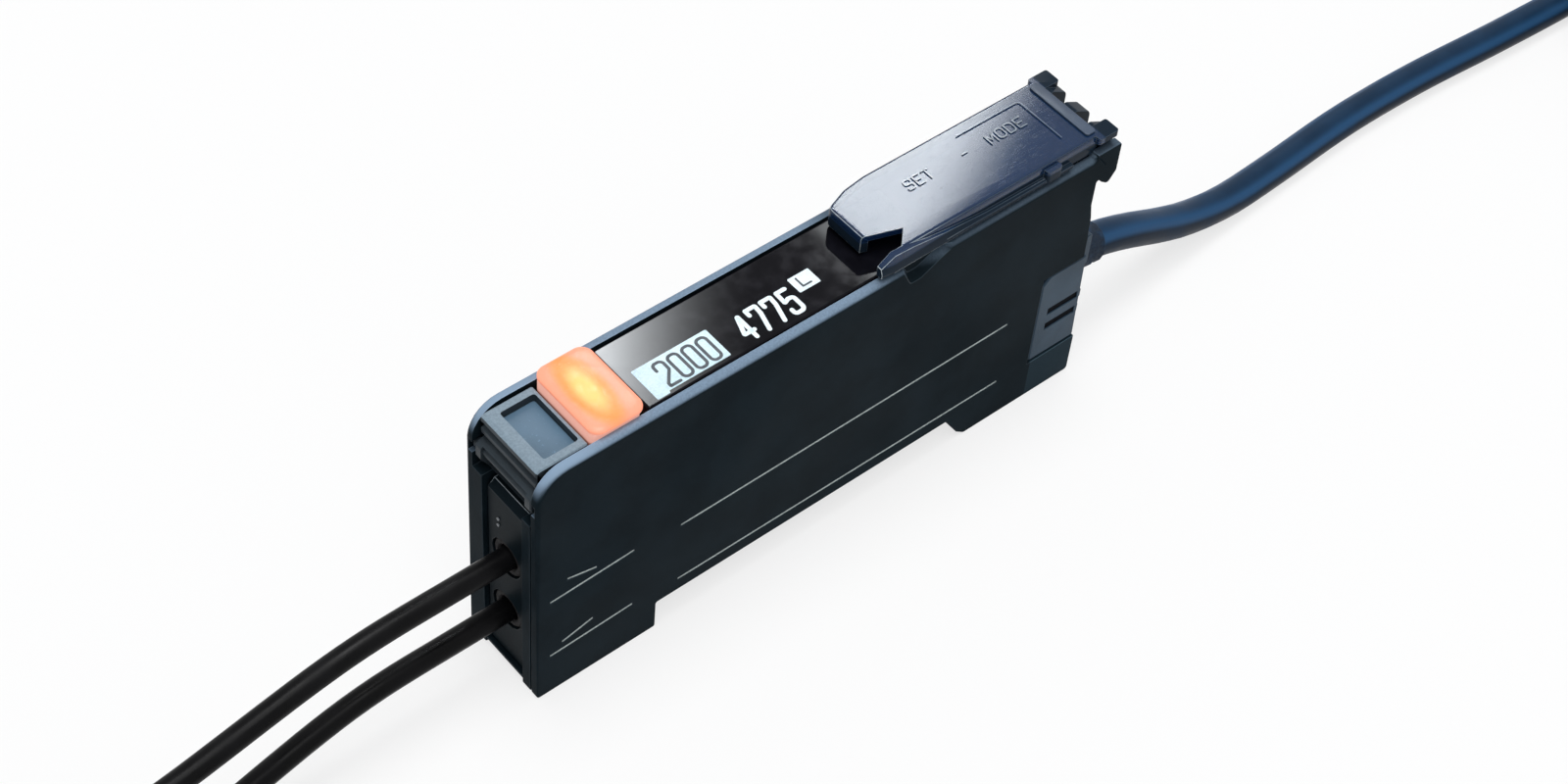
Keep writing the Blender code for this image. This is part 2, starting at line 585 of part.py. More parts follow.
def make_lock_lever():
    """Lever with a framed pocket on top, grip ridges in front and a cam round its pivot."""
    px, pz, top, rear = LEVER_PIVOT_X, LEVER_PIVOT_Z, LEVER_TOP, LEVER_REAR
    half = INNER_HALF - SEAM - 0.05 * MM
    cam = pz - SHELF_Z - FACE_GAP
    side = [(px + 0.25 * MM, top, 0.25 * MM), (px - 0.15 * MM, top - 0.15 * MM, 0.1 * MM)]
    for level in (0.55, 1.95):
        z = top - level * MM
        side += [(px - 0.15 * MM, z - 0.15 * MM, 0.12 * MM), (px + 0.2 * MM, z - 0.3 * MM, 0.1 * MM),
                 (px + 0.2 * MM, z - 0.85 * MM, 0.1 * MM), (px - 0.15 * MM, z - MM, 0.12 * MM)]
    side = side[:-1]
    side += [(px - 0.75 * MM, pz + 0.7 * MM, 0.4 * MM), (px - 0.75 * MM, pz - 0.75 * MM, 0.6 * MM),
             (px + 0.2 * MM, pz - cam, 0.5 * MM), (px + 1.6 * MM, pz - cam * 0.85, 0.8 * MM),
             (px + 2.7 * MM, pz - 0.2 * MM, 0.8 * MM), (rear, top - 2.0 * MM, 0.5 * MM),
             (rear, top, 0.3 * MM)]
    lever = prism("lock_lever", "y", fillet(side), -half, half, "lever_plastic", 0.12 * MM)
    scoop = prism("lever_front_scoop", "y", fillet([
        (px - 3 * MM, top - 3.1 * MM, 0), (px + 0.15 * MM, top - 3.1 * MM, 0.3 * MM),
        (px + 1.5 * MM, pz - 0.4 * MM, 1.4 * MM), (px + 0.9 * MM, pz - cam + 0.35 * MM, 0.3 * MM),
        (px - 3 * MM, pz - cam + 0.1 * MM, 0)]), -half + LEVER_FRAME, half - LEVER_FRAME)
    pocket = block("lever_pocket", px + 1.2 * MM, rear - 0.4 * MM, -half + LEVER_FRAME,
                   half - LEVER_FRAME, top - LEVER_POCKET_DEPTH, top + MM, r=0.25 * MM)
    trunnion = rod("lever_trunnion", "y", (px, pz), TRUNNION_R, -TRUNNION_END, TRUNNION_END, 16,
                   ease=0.1 * MM)
    cut(lever, scoop, pocket)
    add(lever, trunnion)
    seat(lever, px, 0, pz)


# Optics and lens
def make_optics():
    """Emitter and receiver behind the fibre ends: a domed can on a square base each."""
    start = BLOCK_BAY - 0.1 * MM
    for name, z, material in (("emitter_led", FIBRE_ZS["upper"], "led_clear"),
                              ("receiver_diode", FIBRE_ZS["lower"], "chip_black")):
        r = OPTIC_R
        can = turned(name, "x", [(start, 0), (start, r * 0.45), (start + 0.35 * MM, r * 0.85),
                                 (start + 0.9 * MM, r), (start + 2.2 * MM, r),
                                 (start + 2.2 * MM, 0)], 16, material)
        base = block(f"{name}_base", start + 2.0 * MM, start + OPTIC_BODY, -1.9 * MM,
                     MAIN_BOARD_Y - SEAM, -2.0 * MM, 2.0 * MM, r=0.3 * MM, axis="x")
        add(can, base)
        can.location = base.location = (0, 0, z)


def make_lens():
    """Lit lens: a rounded cap over both rims on a stem between them."""
    x0, x1 = LENS_X, LENS_X + LENS_LENGTH
    base = RIM_HEIGHT + SEAM
    bm_rings = []
    for rise, pull in ((0, 0.0), (0.45, 0.0), (0.75, 0.1), (0.93, 0.32), (1.0, 0.65)):
        line = round_rect(x0 + pull * MM, x1 - pull * MM, -LENS_HALF + pull * 0.6 * MM,
                          LENS_HALF - pull * 0.6 * MM, LENS_CORNER_R - pull * 0.5 * MM, 24)
        bm_rings.append([Vector((p.x, p.y, base + rise * LENS_THICK)) for p in line])
    cap = loft("indicator_lens", bm_rings, "lens_plastic", 50)
    stem = block("lens_stem", x0 + 0.3 * MM, x1 - 0.3 * MM, -INNER_HALF + SEAM,
                 INNER_HALF - SEAM, UPPER_BOARD_Z + BOARD_THICK + 1.5 * MM, base + 0.2 * MM,
                 r=0.8 * MM)
    add(cap, stem)
    z = UPPER_BOARD_Z + BOARD_THICK + SEAM
    block("indicator_led", x0 + 1.8 * MM, x0 + 3.8 * MM, -MM, MM, z, z + MM, "led_clear",
          r=0.2 * MM, ease=0.1 * MM)


def make_window():
    """Smoked display window with its module and light guide."""
    x0 = LENS_X + LENS_LENGTH + SEAM
    half = INNER_HALF - SEAM
    low = GLASS_Z - WINDOW_THICK
    block("display_window", x0, WINDOW_REAR, -half, half, low, GLASS_Z, "window_plastic",
          r=0.3 * MM, ease=0.1 * MM)
    board = UPPER_BOARD_Z + BOARD_THICK
    guide_top = board + SEAM + 0.9 * MM
    x1 = WINDOW_REAR - DISPLAY_SPARE
    block("light_guide", x0 + MM, x1 - 0.1 * MM, -half + 0.4 * MM, half - 0.4 * MM,
          board + SEAM, guide_top, "clear_plastic", r=0.3 * MM)
    block("display_module", x0 + 0.9 * MM, x1, -half + 0.3 * MM, half - 0.3 * MM,
          guide_top + SEAM, low - FACE_GAP, "display_glass", r=0.2 * MM, ease=0.1 * MM)


# Keys and boards
def make_keys():
    """Key panel, four sprung key caps with retaining flanges, and their switches."""
    half = INNER_HALF - SEAM
    x0, x1 = WINDOW_REAR + SEAM, BODY_LENGTH - 2 * SEAM - REAR_WALL
    top = GLASS_Z
    low = top - PANEL_THICK
    panel = block("key_panel", x0, x1, -half, half, low, top, "slate_plastic",
                  r=0.4 * MM, ease=0.12 * MM)
    board = UPPER_BOARD_Z + BOARD_THICK
    kx, ky = KEY_LENGTH / 2, KEY_WIDTH / 2
    plunger = board + SEAM + SWITCH_BODY + 0.45 * MM
    for name, x in KEY_PLACES.items():
        cut(panel, block(f"panel_hole_{name}", x - kx - SEAM, x + kx + SEAM, KEY_Y - ky - SEAM,
                         KEY_Y + ky + SEAM, low - MM, top + MM, r=0.5 * MM))
        flange_top = low - FACE_GAP
        flange = flange_top - 0.45 * MM
        key = block(f"key_{name}", x - kx, x + kx, KEY_Y - ky, KEY_Y + ky, flange + 0.1 * MM,
                    top + KEY_RISE, "slate_plastic", r=0.45 * MM, ease=0.12 * MM)
        rim = block(f"key_{name}_flange", x - kx - 0.1 * MM, x + kx + 0.1 * MM,
                    KEY_Y - ky - 0.45 * MM, KEY_Y + ky + 0.45 * MM, flange, flange_top)
        foot = rod(f"key_{name}_foot", "z", (x, KEY_Y), 0.5 * MM,
                   plunger + KEY_TRAVEL + 0.15 * MM, flange + 0.05 * MM, 12)
        add(key, rim, foot)
        seat(key, x, KEY_Y, top)
        s = SWITCH_SIZE / 2
        switch = block(f"switch_{name}", x - s, x + s, KEY_Y - s, KEY_Y + s, board + SEAM,
                       board + SEAM + SWITCH_BODY, "switch_metal", r=0.3 * MM, ease=0.08 * MM)
        add(switch, rod(f"switch_{name}_plunger", "z", (x, KEY_Y), 0.75 * MM,
                        board + SEAM + SWITCH_BODY - 0.3 * MM, plunger, 16))
        seat(switch, x, KEY_Y, board + SEAM)


def make_boards():
    """Upper board under display and keys, main board beside the optics, its chip."""
    half = INNER_HALF - 2 * SEAM
    rear = BODY_LENGTH - 2 * SEAM - REAR_WALL
    block("upper_board", LENS_X + 0.8 * MM, rear, -half, half, UPPER_BOARD_Z,
          UPPER_BOARD_Z + BOARD_THICK, "board_green", r=0.4 * MM)
    y0, y1 = MAIN_BOARD_Y, MAIN_BOARD_Y + BOARD_THICK
    x0 = BLOCK_BAY + PARTITION + 0.6 * MM
    low = NOTCH_DEPTH + FLOOR_WALL + 0.6 * MM
    block("main_board", x0, PLUG_FRONT - 1.2 * MM, y0, y1, low, UPPER_BOARD_Z - FACE_GAP,
          "board_green", r=0.5 * MM, axis="y")
    mid = (x0 + PLUG_FRONT) / 2 - 3 * MM
    block("processor_chip", mid - 3.5 * MM, mid + 3.5 * MM, y0 - SEAM - 1.1 * MM, y0 - SEAM,
          low + 6.5 * MM, low + 13.5 * MM, "chip_black", r=0.3 * MM, ease=0.08 * MM, axis="y")
    z0, z1 = PLUG_BOTTOM + 1.8 * MM, PLUG_TOP - 1.8 * MM
    header = block("power_header", PLUG_FRONT - 6.6 * MM, PLUG_FRONT - SEAM - 0.1 * MM,
                   TONGUE_Y[0] - 1.1 * MM, y0 - SEAM, z0, z1, "chip_black", r=0.3 * MM, axis="x")
    cut(header, block("header_mouth", PLUG_FRONT - 5.4 * MM, PLUG_FRONT + MM,
                      TONGUE_Y[0] - FACE_GAP, TONGUE_Y[1] + FACE_GAP, z0 + 0.8 * MM, z1 - 0.8 * MM))


# Clear cover
def lip(name, side):
    """Outward lip along one skirt, tall at its finger end and thin behind."""
    stations = [(COVER_FRONT - 0.5 * MM, 0.35, 0.75), (COVER_FRONT + 0.9 * MM, 1.0, 1.0),
                (COVER_FRONT + 3 * MM, 0.9, 1.0), (COVER_FRONT + 7 * MM, 0.45, 0.9),
                (COVER_FRONT + 12 * MM, 0.1, 0.8), (COVER_REAR - 3.5 * MM, 0.0, 0.8)]
    if side > 0:
        stations = [(x + 5.5 * MM if i < 2 else x + 3.5 * MM if i < 5 else x, 0.0, 0.8)
                    for i, (x, rise, out) in enumerate(stations)]
    rings = []
    for x, rise, out in stations:
        high = COVER_BASE + LIP_THICK + rise * LIP_FRONT_RISE
        inner, outer = COVER_HALF - 0.3 * MM, COVER_HALF + out * LIP_OUT
        rings.append([Vector((x, side * y, z)) for y, z in (
            (inner, COVER_BASE), (outer - 0.1 * MM, COVER_BASE), (outer, COVER_BASE + 0.12 * MM),
            (outer, COVER_BASE + LIP_THICK * 0.8), (outer - 0.2 * MM, high - 0.05 * MM),
            (inner, high))])
    return loft(name, rings)


def make_cover():
    """Clear hinged cover: notched front, flared far corner, skirts, lips and knuckles."""
    f, r, h = COVER_FRONT, COVER_REAR, COVER_HALF
    corners = [
        (f, -h, 0.5 * MM), (r, -h, 0.5 * MM), (r, h + 0.1 * MM, 0.5 * MM),
        (f + 5 * MM, h + 0.1 * MM, 3 * MM), (f + 2.5 * MM, h - 0.2 * MM, 3 * MM),
        (f, h - 1.1 * MM, 0.8 * MM)]
    plan = fillet(corners, 28)
    rings = []
    for z, pull in ((COVER_BASE, 0), (COVER_TOP - 0.35 * MM, 0), (COVER_TOP - 0.1 * MM, 0.1),
                    (COVER_TOP, 0.35)):
        rings.append([Vector((p.x, p.y, z)) for p in inset(plan, lambda p: pull * MM)])
    cover = loft("cover", rings, "clear_plastic", 50)
    hollow_plan = fillet(shrunk(corners, COVER_WALL), 24)
    hollow = loft("cover_hollow", [
        [Vector((p.x, p.y, z)) for p in hollow_plan]
        for z in (COVER_BASE - MM, COVER_TOP - COVER_WALL)])
    notch = prism("cover_notch", "z", [Vector((f + x * MM, y * MM - h)) for x, y in (
        (-0.9, 3.15), (-0.1, 3.15), (3.7, 1.85), (2.0, 0.15), (1.9, -1.65), (-0.9, -1.65))],
        COVER_BASE - MM, COVER_TOP + MM)
    cut(cover, hollow, notch)
    beam = block("cover_beam", r - 1.5 * MM, r, -h + 0.2 * MM, h - 0.2 * MM,
                 COVER_BASE + 0.1 * MM, COVER_TOP - 0.2 * MM)
    arm_line = fillet([
        (r - 0.6 * MM, COVER_BASE + 0.1 * MM, 0), (PIN_X - KNUCKLE_R, COVER_BASE + 0.1 * MM, 0.1 * MM),
        (PIN_X - KNUCKLE_R, PIN_Z - KNUCKLE_R, KNUCKLE_R * 0.98),
        (PIN_X + KNUCKLE_R, PIN_Z - KNUCKLE_R, KNUCKLE_R * 0.98),
        (PIN_X + KNUCKLE_R, COVER_BASE + 0.7 * MM, 0.9 * MM),
        (r + 0.6 * MM, COVER_TOP - 0.3 * MM, 0.4 * MM), (r - 0.6 * MM, COVER_TOP - 0.3 * MM, 0)])
    reach = INNER_HALF - SEAM
    arms = [prism(f"cover_arm_{i}", "y", arm_line, y - KNUCKLE_WIDTH / 2, y + KNUCKLE_WIDTH / 2)
            for i, y in enumerate((-reach + KNUCKLE_WIDTH / 2, 0, reach - KNUCKLE_WIDTH / 2))]
    shoulders = [block(f"cover_shoulder_{i}", r - 0.5 * MM, PIN_X + 0.6 * MM, min(a, b), max(a, b),
                       COVER_TOP - 0.85 * MM, COVER_TOP - 0.1 * MM, r=0.25 * MM)
                 for i, (a, b) in enumerate(((-h - 0.5 * MM, -h + 1.3 * MM), (h - 1.3 * MM, h + 0.5 * MM)))]
    nub = block("cover_nub", NUB_X - 0.9 * MM, NUB_X + 0.9 * MM, -h - 0.6 * MM, -h + 0.3 * MM,
                COVER_BASE + 0.2 * MM, COVER_TOP - 0.5 * MM, r=0.3 * MM)
    add(cover, beam, lip("cover_lip_near", -1), lip("cover_lip_far", 1), nub, *arms, *shoulders)
    relief = [rod(f"cover_relief_{i}", "y", (PIN_X, PIN_Z), KNUCKLE_R + 1.4 * MM, *sorted(
        (side * (INNER_HALF - 0.05 * MM), side * (HALF + MM))), 24)
        for i, side in enumerate((-1, 1))]
    bores = [rod("cover_pin_bore", "y", (PIN_X, PIN_Z), PIN_R + SHAFT_PLAY, -HALF, HALF, 16)]
    cut(cover, *relief, *bores)
    seat(cover, PIN_X, 0, PIN_Z)
    end = INNER_HALF + 0.5 * SIDE_WALL
    rod("hinge_pin", "y", (PIN_X, PIN_Z), PIN_R, -end, end, 16, "pin_steel", 0.1 * MM)


# Plug, boot and lead
def make_plug():
    """Plug that fills the bay at the rear, with grip slots, a flange and a tongue."""
    half = HALF - 0.1 * MM
    body = prism("plug", "y", fillet([
        (PLUG_FRONT, PLUG_BOTTOM, 0.3 * MM), (PLUG_REAR + 0.2 * MM, PLUG_BOTTOM, 0.3 * MM),
        (PLUG_REAR, PLUG_BOTTOM + 5 * MM, 0), (PLUG_REAR - 0.2 * MM, PLUG_TOP, 0.2 * MM),
        (PLUG_FRONT + 0.9 * MM, PLUG_TOP, 0.2 * MM), (PLUG_FRONT, PLUG_TOP - 0.9 * MM, 0.2 * MM)]),
        -half, half, "slate_plastic", 0.15 * MM)
    tongue = block("plug_tongue", PLUG_FRONT - 5.0 * MM, PLUG_FRONT + MM, *TONGUE_Y,
                   PLUG_BOTTOM + 2.9 * MM, PLUG_TOP - 2.9 * MM, r=0.2 * MM, axis="x")
    flange = block("plug_flange", BODY_LENGTH + 0.85 * MM, BODY_LENGTH + 1.5 * MM, -half + 0.2 * MM,
                   half - 0.2 * MM, PLUG_TOP - 1.5 * MM, PLUG_TOP + PLUG_FLANGE_RISE, r=0.2 * MM,
                   axis="y")
    add(body, tongue, flange)
    slots = [block(f"plug_slot_{i}", PLUG_FRONT + 1.4 * MM, PLUG_REAR + 2 * MM, min(a, b), max(a, b),
                   z, z + 0.95 * MM)
             for i, (a, b, z) in enumerate(((-half - MM, -half + 0.5 * MM, PLUG_BOTTOM + 5.7 * MM),
                                            (-half - MM, -half + 0.5 * MM, PLUG_BOTTOM + 3.6 * MM),
                                            (half - 0.5 * MM, half + MM, PLUG_BOTTOM + 5.7 * MM),
                                            (half - 0.5 * MM, half + MM, PLUG_BOTTOM + 3.6 * MM)))]
    cut(body, *slots)
    seat(body, PLUG_FRONT, 0, PLUG_BOTTOM)


def bezier(a, b, c, d, t):
    s = 1 - t
    return a * s ** 3 + b * 3 * s * s * t + c * 3 * s * t * t + d * t ** 3


def make_boot():
    """Tapered strain relief: rings along a line that starts level and dips to the lead."""
    x0 = PLUG_REAR + FACE_GAP + 0.15 * MM
    start = Vector((x0, 0, LEAD_Z))
    end = Vector((x0 + BOOT_LENGTH, 0, LEAD_Z - BOOT_DIP))
    ctrl = (start, start + Vector((2, 0, 0)) * MM, end - Vector((2, 0, -0.6)) * MM, end)
    rings = []
    stations = 9
    for k in range(stations):
        t = k / (stations - 1)
        p = bezier(*ctrl, t)
        d = (bezier(*ctrl, min(1, t + 0.01)) - bezier(*ctrl, max(0, t - 0.01))).normalized()
        up = Vector((-d.z, 0, d.x))
        side = Vector((0, 1, 0))
        taper = BOOT_D / 2 + (LEAD_D / 2 + 0.35 * MM - BOOT_D / 2) * t
        r = taper - (0.25 * MM if k % 2 else 0)
        rings.append([p + (up * math.cos(a) + side * math.sin(a)) * r
                      for a in (2 * math.pi * i / 16 for i in range(16))])
    loft("strain_relief", rings, "lead_jacket", 50)
    return end, (end - ctrl[2]).normalized()


# Cords
def smooth_route(points, step):
    """Even points on a smooth curve through the route's own points."""
    pts = [Vector(p) for p in points]
    pts = [pts[0] * 2 - pts[1]] + pts + [pts[-1] * 2 - pts[-2]]
    fine = []
    for p0, p1, p2, p3 in zip(pts, pts[1:], pts[2:], pts[3:]):
        for k in range(24):
            t = k / 24
            fine.append(((p1 * 2) + (p2 - p0) * t + (p0 * 2 - p1 * 5 + p2 * 4 - p3) * t * t
                         + (p1 * 3 - p0 - p2 * 3 + p3) * t ** 3) / 2)
    fine.append(pts[-2])
    marks = [0.0]
    for a, b in zip(fine, fine[1:]):
        marks.append(marks[-1] + (b - a).length)
    count = max(2, round(marks[-1] / step))
    out, i = [], 0
    for k in range(count + 1):
        want = marks[-1] * k / count
        while i < len(marks) - 2 and marks[i + 1] < want:
            i += 1
        share = (want - marks[i]) / (marks[i + 1] - marks[i])
        out.append(fine[i].lerp(fine[i + 1], min(1, max(0, share))))
    return out


def eased(a, b, count):
    """Points after a up to b: even steps along X, slow at both ends across it."""
    out = []
    for k in range(1, count + 1):
        t = k / count
        soft = t * t * (3 - 2 * t)
        out.append((a[0] + (b[0] - a[0]) * t, a[1] + (b[1] - a[1]) * soft,
                    a[2] + (b[2] - a[2]) * soft))
    return out


def tube(name, route, diameter, material, step=2.5):
    """A cord's free stretch: a bevelled curve with filled ends."""
    curve = bpy.data.curves.new(name, "CURVE")
    curve.dimensions = "3D"
    curve.bevel_depth = diameter / 2
    curve.bevel_resolution = 2
    curve.use_fill_caps = True
    points = smooth_route(route, step * diameter)
    line = curve.splines.new("POLY")
    line.points.add(len(points) - 1)
    for slot, p in zip(line.points, points):
        slot.co = (*p, 1)
    curve.materials.append(bpy.data.materials[material])
    obj = bpy.data.objects.new(name, curve)
    bpy.context.scene.collection.objects.link(obj)


def hank(name, x, way, y_line, base, diameter, turns, run, material):
    """The outer shape of a tied hank: round ends, its outer run in line with the cord.
    x is where the outer run starts, and way which way along X the runs go."""
    beside, high = turns
    outer = (HANK_FOLD + beside - 0.5) * diameter
    centre_y = y_line - outer + diameter / 2
    a, b = sorted((x, x + way * run))
    outline = ([Vector((a - outer * math.sin(t), centre_y + outer * math.cos(t)))
                for t in (math.pi * k / 16 for k in range(17))]
               + [Vector((b + outer * math.sin(t), centre_y - outer * math.cos(t)))
                  for t in (math.pi * k / 16 for k in range(17))])
    prism(name, "z", outline, base, base + high * diameter, material, 0.8 * MM)
    return centre_y, outer


def sensing_head(name, x, y, z, way):
    """Threaded metal head on a fibre's end: crimp sleeve, shoulder, stem and lens tip."""
    r, n = HEAD_R, HEAD_LENGTH
    head = turned(f"head_{name}", "x", [(way * w * n, rad * MM) for w, rad in (
        (0, 0), (0, 1.35), (0.02, 1.5), (0.24, 1.5), (0.25, r / MM - 0.1), (0.30, r / MM - 0.1),
        (0.31, r / MM), (0.97, r / MM), (1.0, r / MM - 0.25), (1.0, 0))], 16, "nickel")
    head.location = (x, y, z)
    hexa = circle(0, 0, NUT_FLATS / math.sqrt(3), 6, math.pi / 6)
    nut = prism(f"head_{name}_nut", "x", hexa, -NUT_THICK / 2, NUT_THICK / 2, "nickel",
                0.2 * MM)
    cut(nut, rod(f"head_{name}_nut_bore", "x", (0, 0), r + 0.12 * MM, -2 * NUT_THICK,
                 2 * NUT_THICK, 16))
    nut.location = (x + way * 0.62 * n, y, z)
    nut.rotation_euler.x = math.pi / 2
    nut_bore = bpy.data.objects[f"head_{name}_nut_bore"]
    nut_bore.location = nut.location


def make_fibres():
    """Both fibres: level out of the block, then down and away to a hank each.  The lower
    one's head lies on the bench, the upper one's on top of its hank."""
    d, r = FIBRE_D, FIBRE_D / 2
    inside = BLOCK_BAY - 0.9 * MM
    high = FIBRE_HANK_TURNS[1] * d
    levels = {"lower": 0.0, "upper": high + FACE_GAP}
    outer = (HANK_FOLD + FIBRE_HANK_TURNS[0] - 0.5) * d
    stop = FIBRE_HANK_X + outer * 0.56
    for name, z in FIBRE_ZS.items():
        level = levels[name] + r + REST
        route = [(inside, 0, z), (0, 0, z), (-STRAIGHT_RUN / 2, 0, z), (-STRAIGHT_RUN, 0, z)]
        route += eased(route[-1], (stop + 2 * MM, 0, level), 7) + [(stop, 0, level)]
        tube(f"fibre_{name}", route, d, "fibre_jacket")
        centre_y, outer = hank(f"fibre_{name}_hank", FIBRE_HANK_X, -1, 0, levels[name], d,
                               FIBRE_HANK_TURNS, FIBRE_HANK_RUN, "fibre_jacket")
    flats = NUT_FLATS / 2 + REST
    start = (stop, 2 * centre_y, high - r)
    end = (stop + LOWER_TAIL, start[1], flats)
    tube("fibre_lower_tail", [start] + eased(start, end, 6), d, "fibre_jacket", 0.8)
    sensing_head("lower", end[0] + FACE_GAP, end[1], flats, 1)
    roof = levels["upper"] + high + FACE_GAP
    start = (FIBRE_HANK_X - MM, 0, roof + r)
    end = (start[0] - UPPER_TAIL, centre_y, roof + flats)
    tube("fibre_upper_tail", [start] + eased(start, end, 8), d, "fibre_jacket", 1.5)
    sensing_head("upper", end[0] - FACE_GAP, end[1], end[2], -1)


def make_lead():
    """The lead: out of its boot, down to the bench and away to a hank.  Its bared end
    lies on top of the hank."""
    end, way = make_boot()
    d, r = LEAD_D, LEAD_D / 2
    start = end + way * FACE_GAP
    beside, high = LEAD_HANK_TURNS
    outer = (HANK_FOLD + beside - 0.5) * d
    stop = LEAD_HANK_X - outer * 0.67
    level = r + REST
    route = [start, start + way * 2.5 * MM]
    route += [start + Vector(p) * MM for p in ((6, 0, -2.2), (10.5, 0.1, -4.4), (15.5, 0.3, -6.5))]
    low = Vector((start.x + 22 * MM, 0.6 * MM, level + 0.4 * MM))
    route += [low]
    for share, sway in ((0.15, 1.1), (0.35, 1.7), (0.55, 1.5), (0.75, 0.7), (0.9, 0.2)):
        route.append((low.x + (stop - low.x) * share, sway * MM, level))
    route += [(stop, 0, level)]
    tube("lead", route, d, "lead_jacket")
    centre_y, outer = hank("lead_hank", LEAD_HANK_X, 1, 0, 0, d, LEAD_HANK_TURNS,
                           LEAD_HANK_RUN, "lead_jacket")
    roof = high * d + FACE_GAP
    start = (LEAD_HANK_X + 2 * MM, -(beside - 1) * d, roof + r)
    end = (start[0] + LEAD_TAIL, centre_y, roof + r)
    tube("lead_tail", [start] + eased(start, end, 8), d, "lead_jacket", 1.2)
    x, y, z = end[0] + FACE_GAP, end[1], end[2]
    c = CORE_D
    for colour, side, up in (("brown", -1, 0), ("blue", -1, 1), ("black", 1, 1), ("pink", 1, 0)):
        spread, rest = (0.8 if up else 2.4), roof + c / 2
        tube(f"core_{colour}", [
            (x, y + side * 0.57 * c, z + (0.57 if up else -0.57) * c),
            (x + CORE_RUN * 0.2, y + side * (0.6 if up else 1.2) * c, rest + (1.5 if up else 0.35) * c),
            (x + CORE_RUN * 0.6, y + side * (0.7 if up else 2.0) * c, rest + (0.7 if up else 0.12) * c),
            (x + CORE_RUN, y + side * spread * c, rest + 0.06 * c)], c, f"core_{colour}")


def make_materials():
    for name, (colour, rough, metal, alpha) in MATERIALS.items():
        mat = bpy.data.materials.get(name) or bpy.data.materials.new(name)
        mat.use_nodes = True
        shader = mat.node_tree.nodes["Principled BSDF"]
        shader.inputs["Base Color"].default_value = (*colour, 1)
        shader.inputs["Roughness"].default_value = rough
        shader.inputs["Metallic"].default_value = metal
        shader.inputs["Alpha"].default_value = alpha
        mat.diffuse_color = (*colour, alpha)


def main():
    for obj in list(bpy.data.objects):
        bpy.data.objects.remove(obj, do_unlink=True)
    make_materials()
    make_casing()
    make_side_cover()
    make_fibre_block()
    make_clamp_plate()
    make_lock_lever()
    make_optics()
    make_lens()
    make_window()
    make_keys()
    make_boards()
    make_cover()
    make_plug()
    make_fibres()
    make_lead()
    datum = bpy.data.objects.new("datum", None)
    bpy.context.scene.collection.objects.link(datum)
    for obj in bpy.context.scene.objects:
        if obj is not datum:
            obj.parent = datum
    datum.location.x = -TOTAL_LENGTH / 2
    bpy.context.view_layer.update()


main()
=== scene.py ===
"""Looks of the fibre optic sensor amplifier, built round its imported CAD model: cords and
sensing heads, moulded housing, lock lever, lit lens, display, keys, clear cover, plug,
inner pieces, and the stage with its camera and lamps."""
from math import cos, pi, radians, sin, tan

import bmesh
import bpy
from bpy.props import FloatProperty, FloatVectorProperty, PointerProperty
from bpy.types import NodeSocket, Operator, Panel, PropertyGroup
from mathutils import Matrix, Vector


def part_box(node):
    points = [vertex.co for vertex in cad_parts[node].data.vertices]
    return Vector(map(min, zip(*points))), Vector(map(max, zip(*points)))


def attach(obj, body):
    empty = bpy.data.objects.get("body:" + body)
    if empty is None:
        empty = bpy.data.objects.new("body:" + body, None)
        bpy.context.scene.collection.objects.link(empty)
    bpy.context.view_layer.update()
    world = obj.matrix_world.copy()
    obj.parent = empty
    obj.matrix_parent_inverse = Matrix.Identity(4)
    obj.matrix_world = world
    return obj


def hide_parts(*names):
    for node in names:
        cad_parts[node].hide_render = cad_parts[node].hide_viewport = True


bl_info = {
    "name": "Fibre Optic Sensor Looks",
    "version": (1, 0, 0),
    "blender": (4, 5, 0),
    "location": "View3D > Sidebar > Fibre Sensor",
    "description": "Dresses the packed fibre optic sensor and sets its stage",
    "category": "Object",
}

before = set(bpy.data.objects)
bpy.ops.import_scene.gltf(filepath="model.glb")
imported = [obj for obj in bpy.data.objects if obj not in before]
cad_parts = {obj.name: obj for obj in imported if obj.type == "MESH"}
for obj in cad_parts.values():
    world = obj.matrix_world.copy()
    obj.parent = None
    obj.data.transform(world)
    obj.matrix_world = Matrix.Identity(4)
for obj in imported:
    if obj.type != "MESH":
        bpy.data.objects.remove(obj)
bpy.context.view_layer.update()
MM = 0.001
FRONT_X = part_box("casing")[0].x
RIM_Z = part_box("side_cover")[1].z / MM
GLASS_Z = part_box("display_window")[1].z / MM


def at(x, y, z):
    """A place given in millimetres from the middle of the housing's front face."""
    return Vector((FRONT_X + x * MM, y * MM, z * MM))


def extent(node):
    """The lowest and highest corners of a CAD node, in millimetres as at() takes them."""
    return [((p.x - FRONT_X) / MM, p.y / MM, p.z / MM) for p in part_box(node)]


def colour(label, text, value):
    return FloatVectorProperty(name=label, description=text, subtype="COLOR", size=3,
                               min=0.0, max=1.0, default=value)


def length(label, text, value):
    return FloatProperty(name=label, description=text, default=value * MM, min=0.0,
                         unit="LENGTH", subtype="DISTANCE", precision=5)


def amount(label, text, value, least=0.0):
    return FloatProperty(name=label, description=text, default=value, min=least)


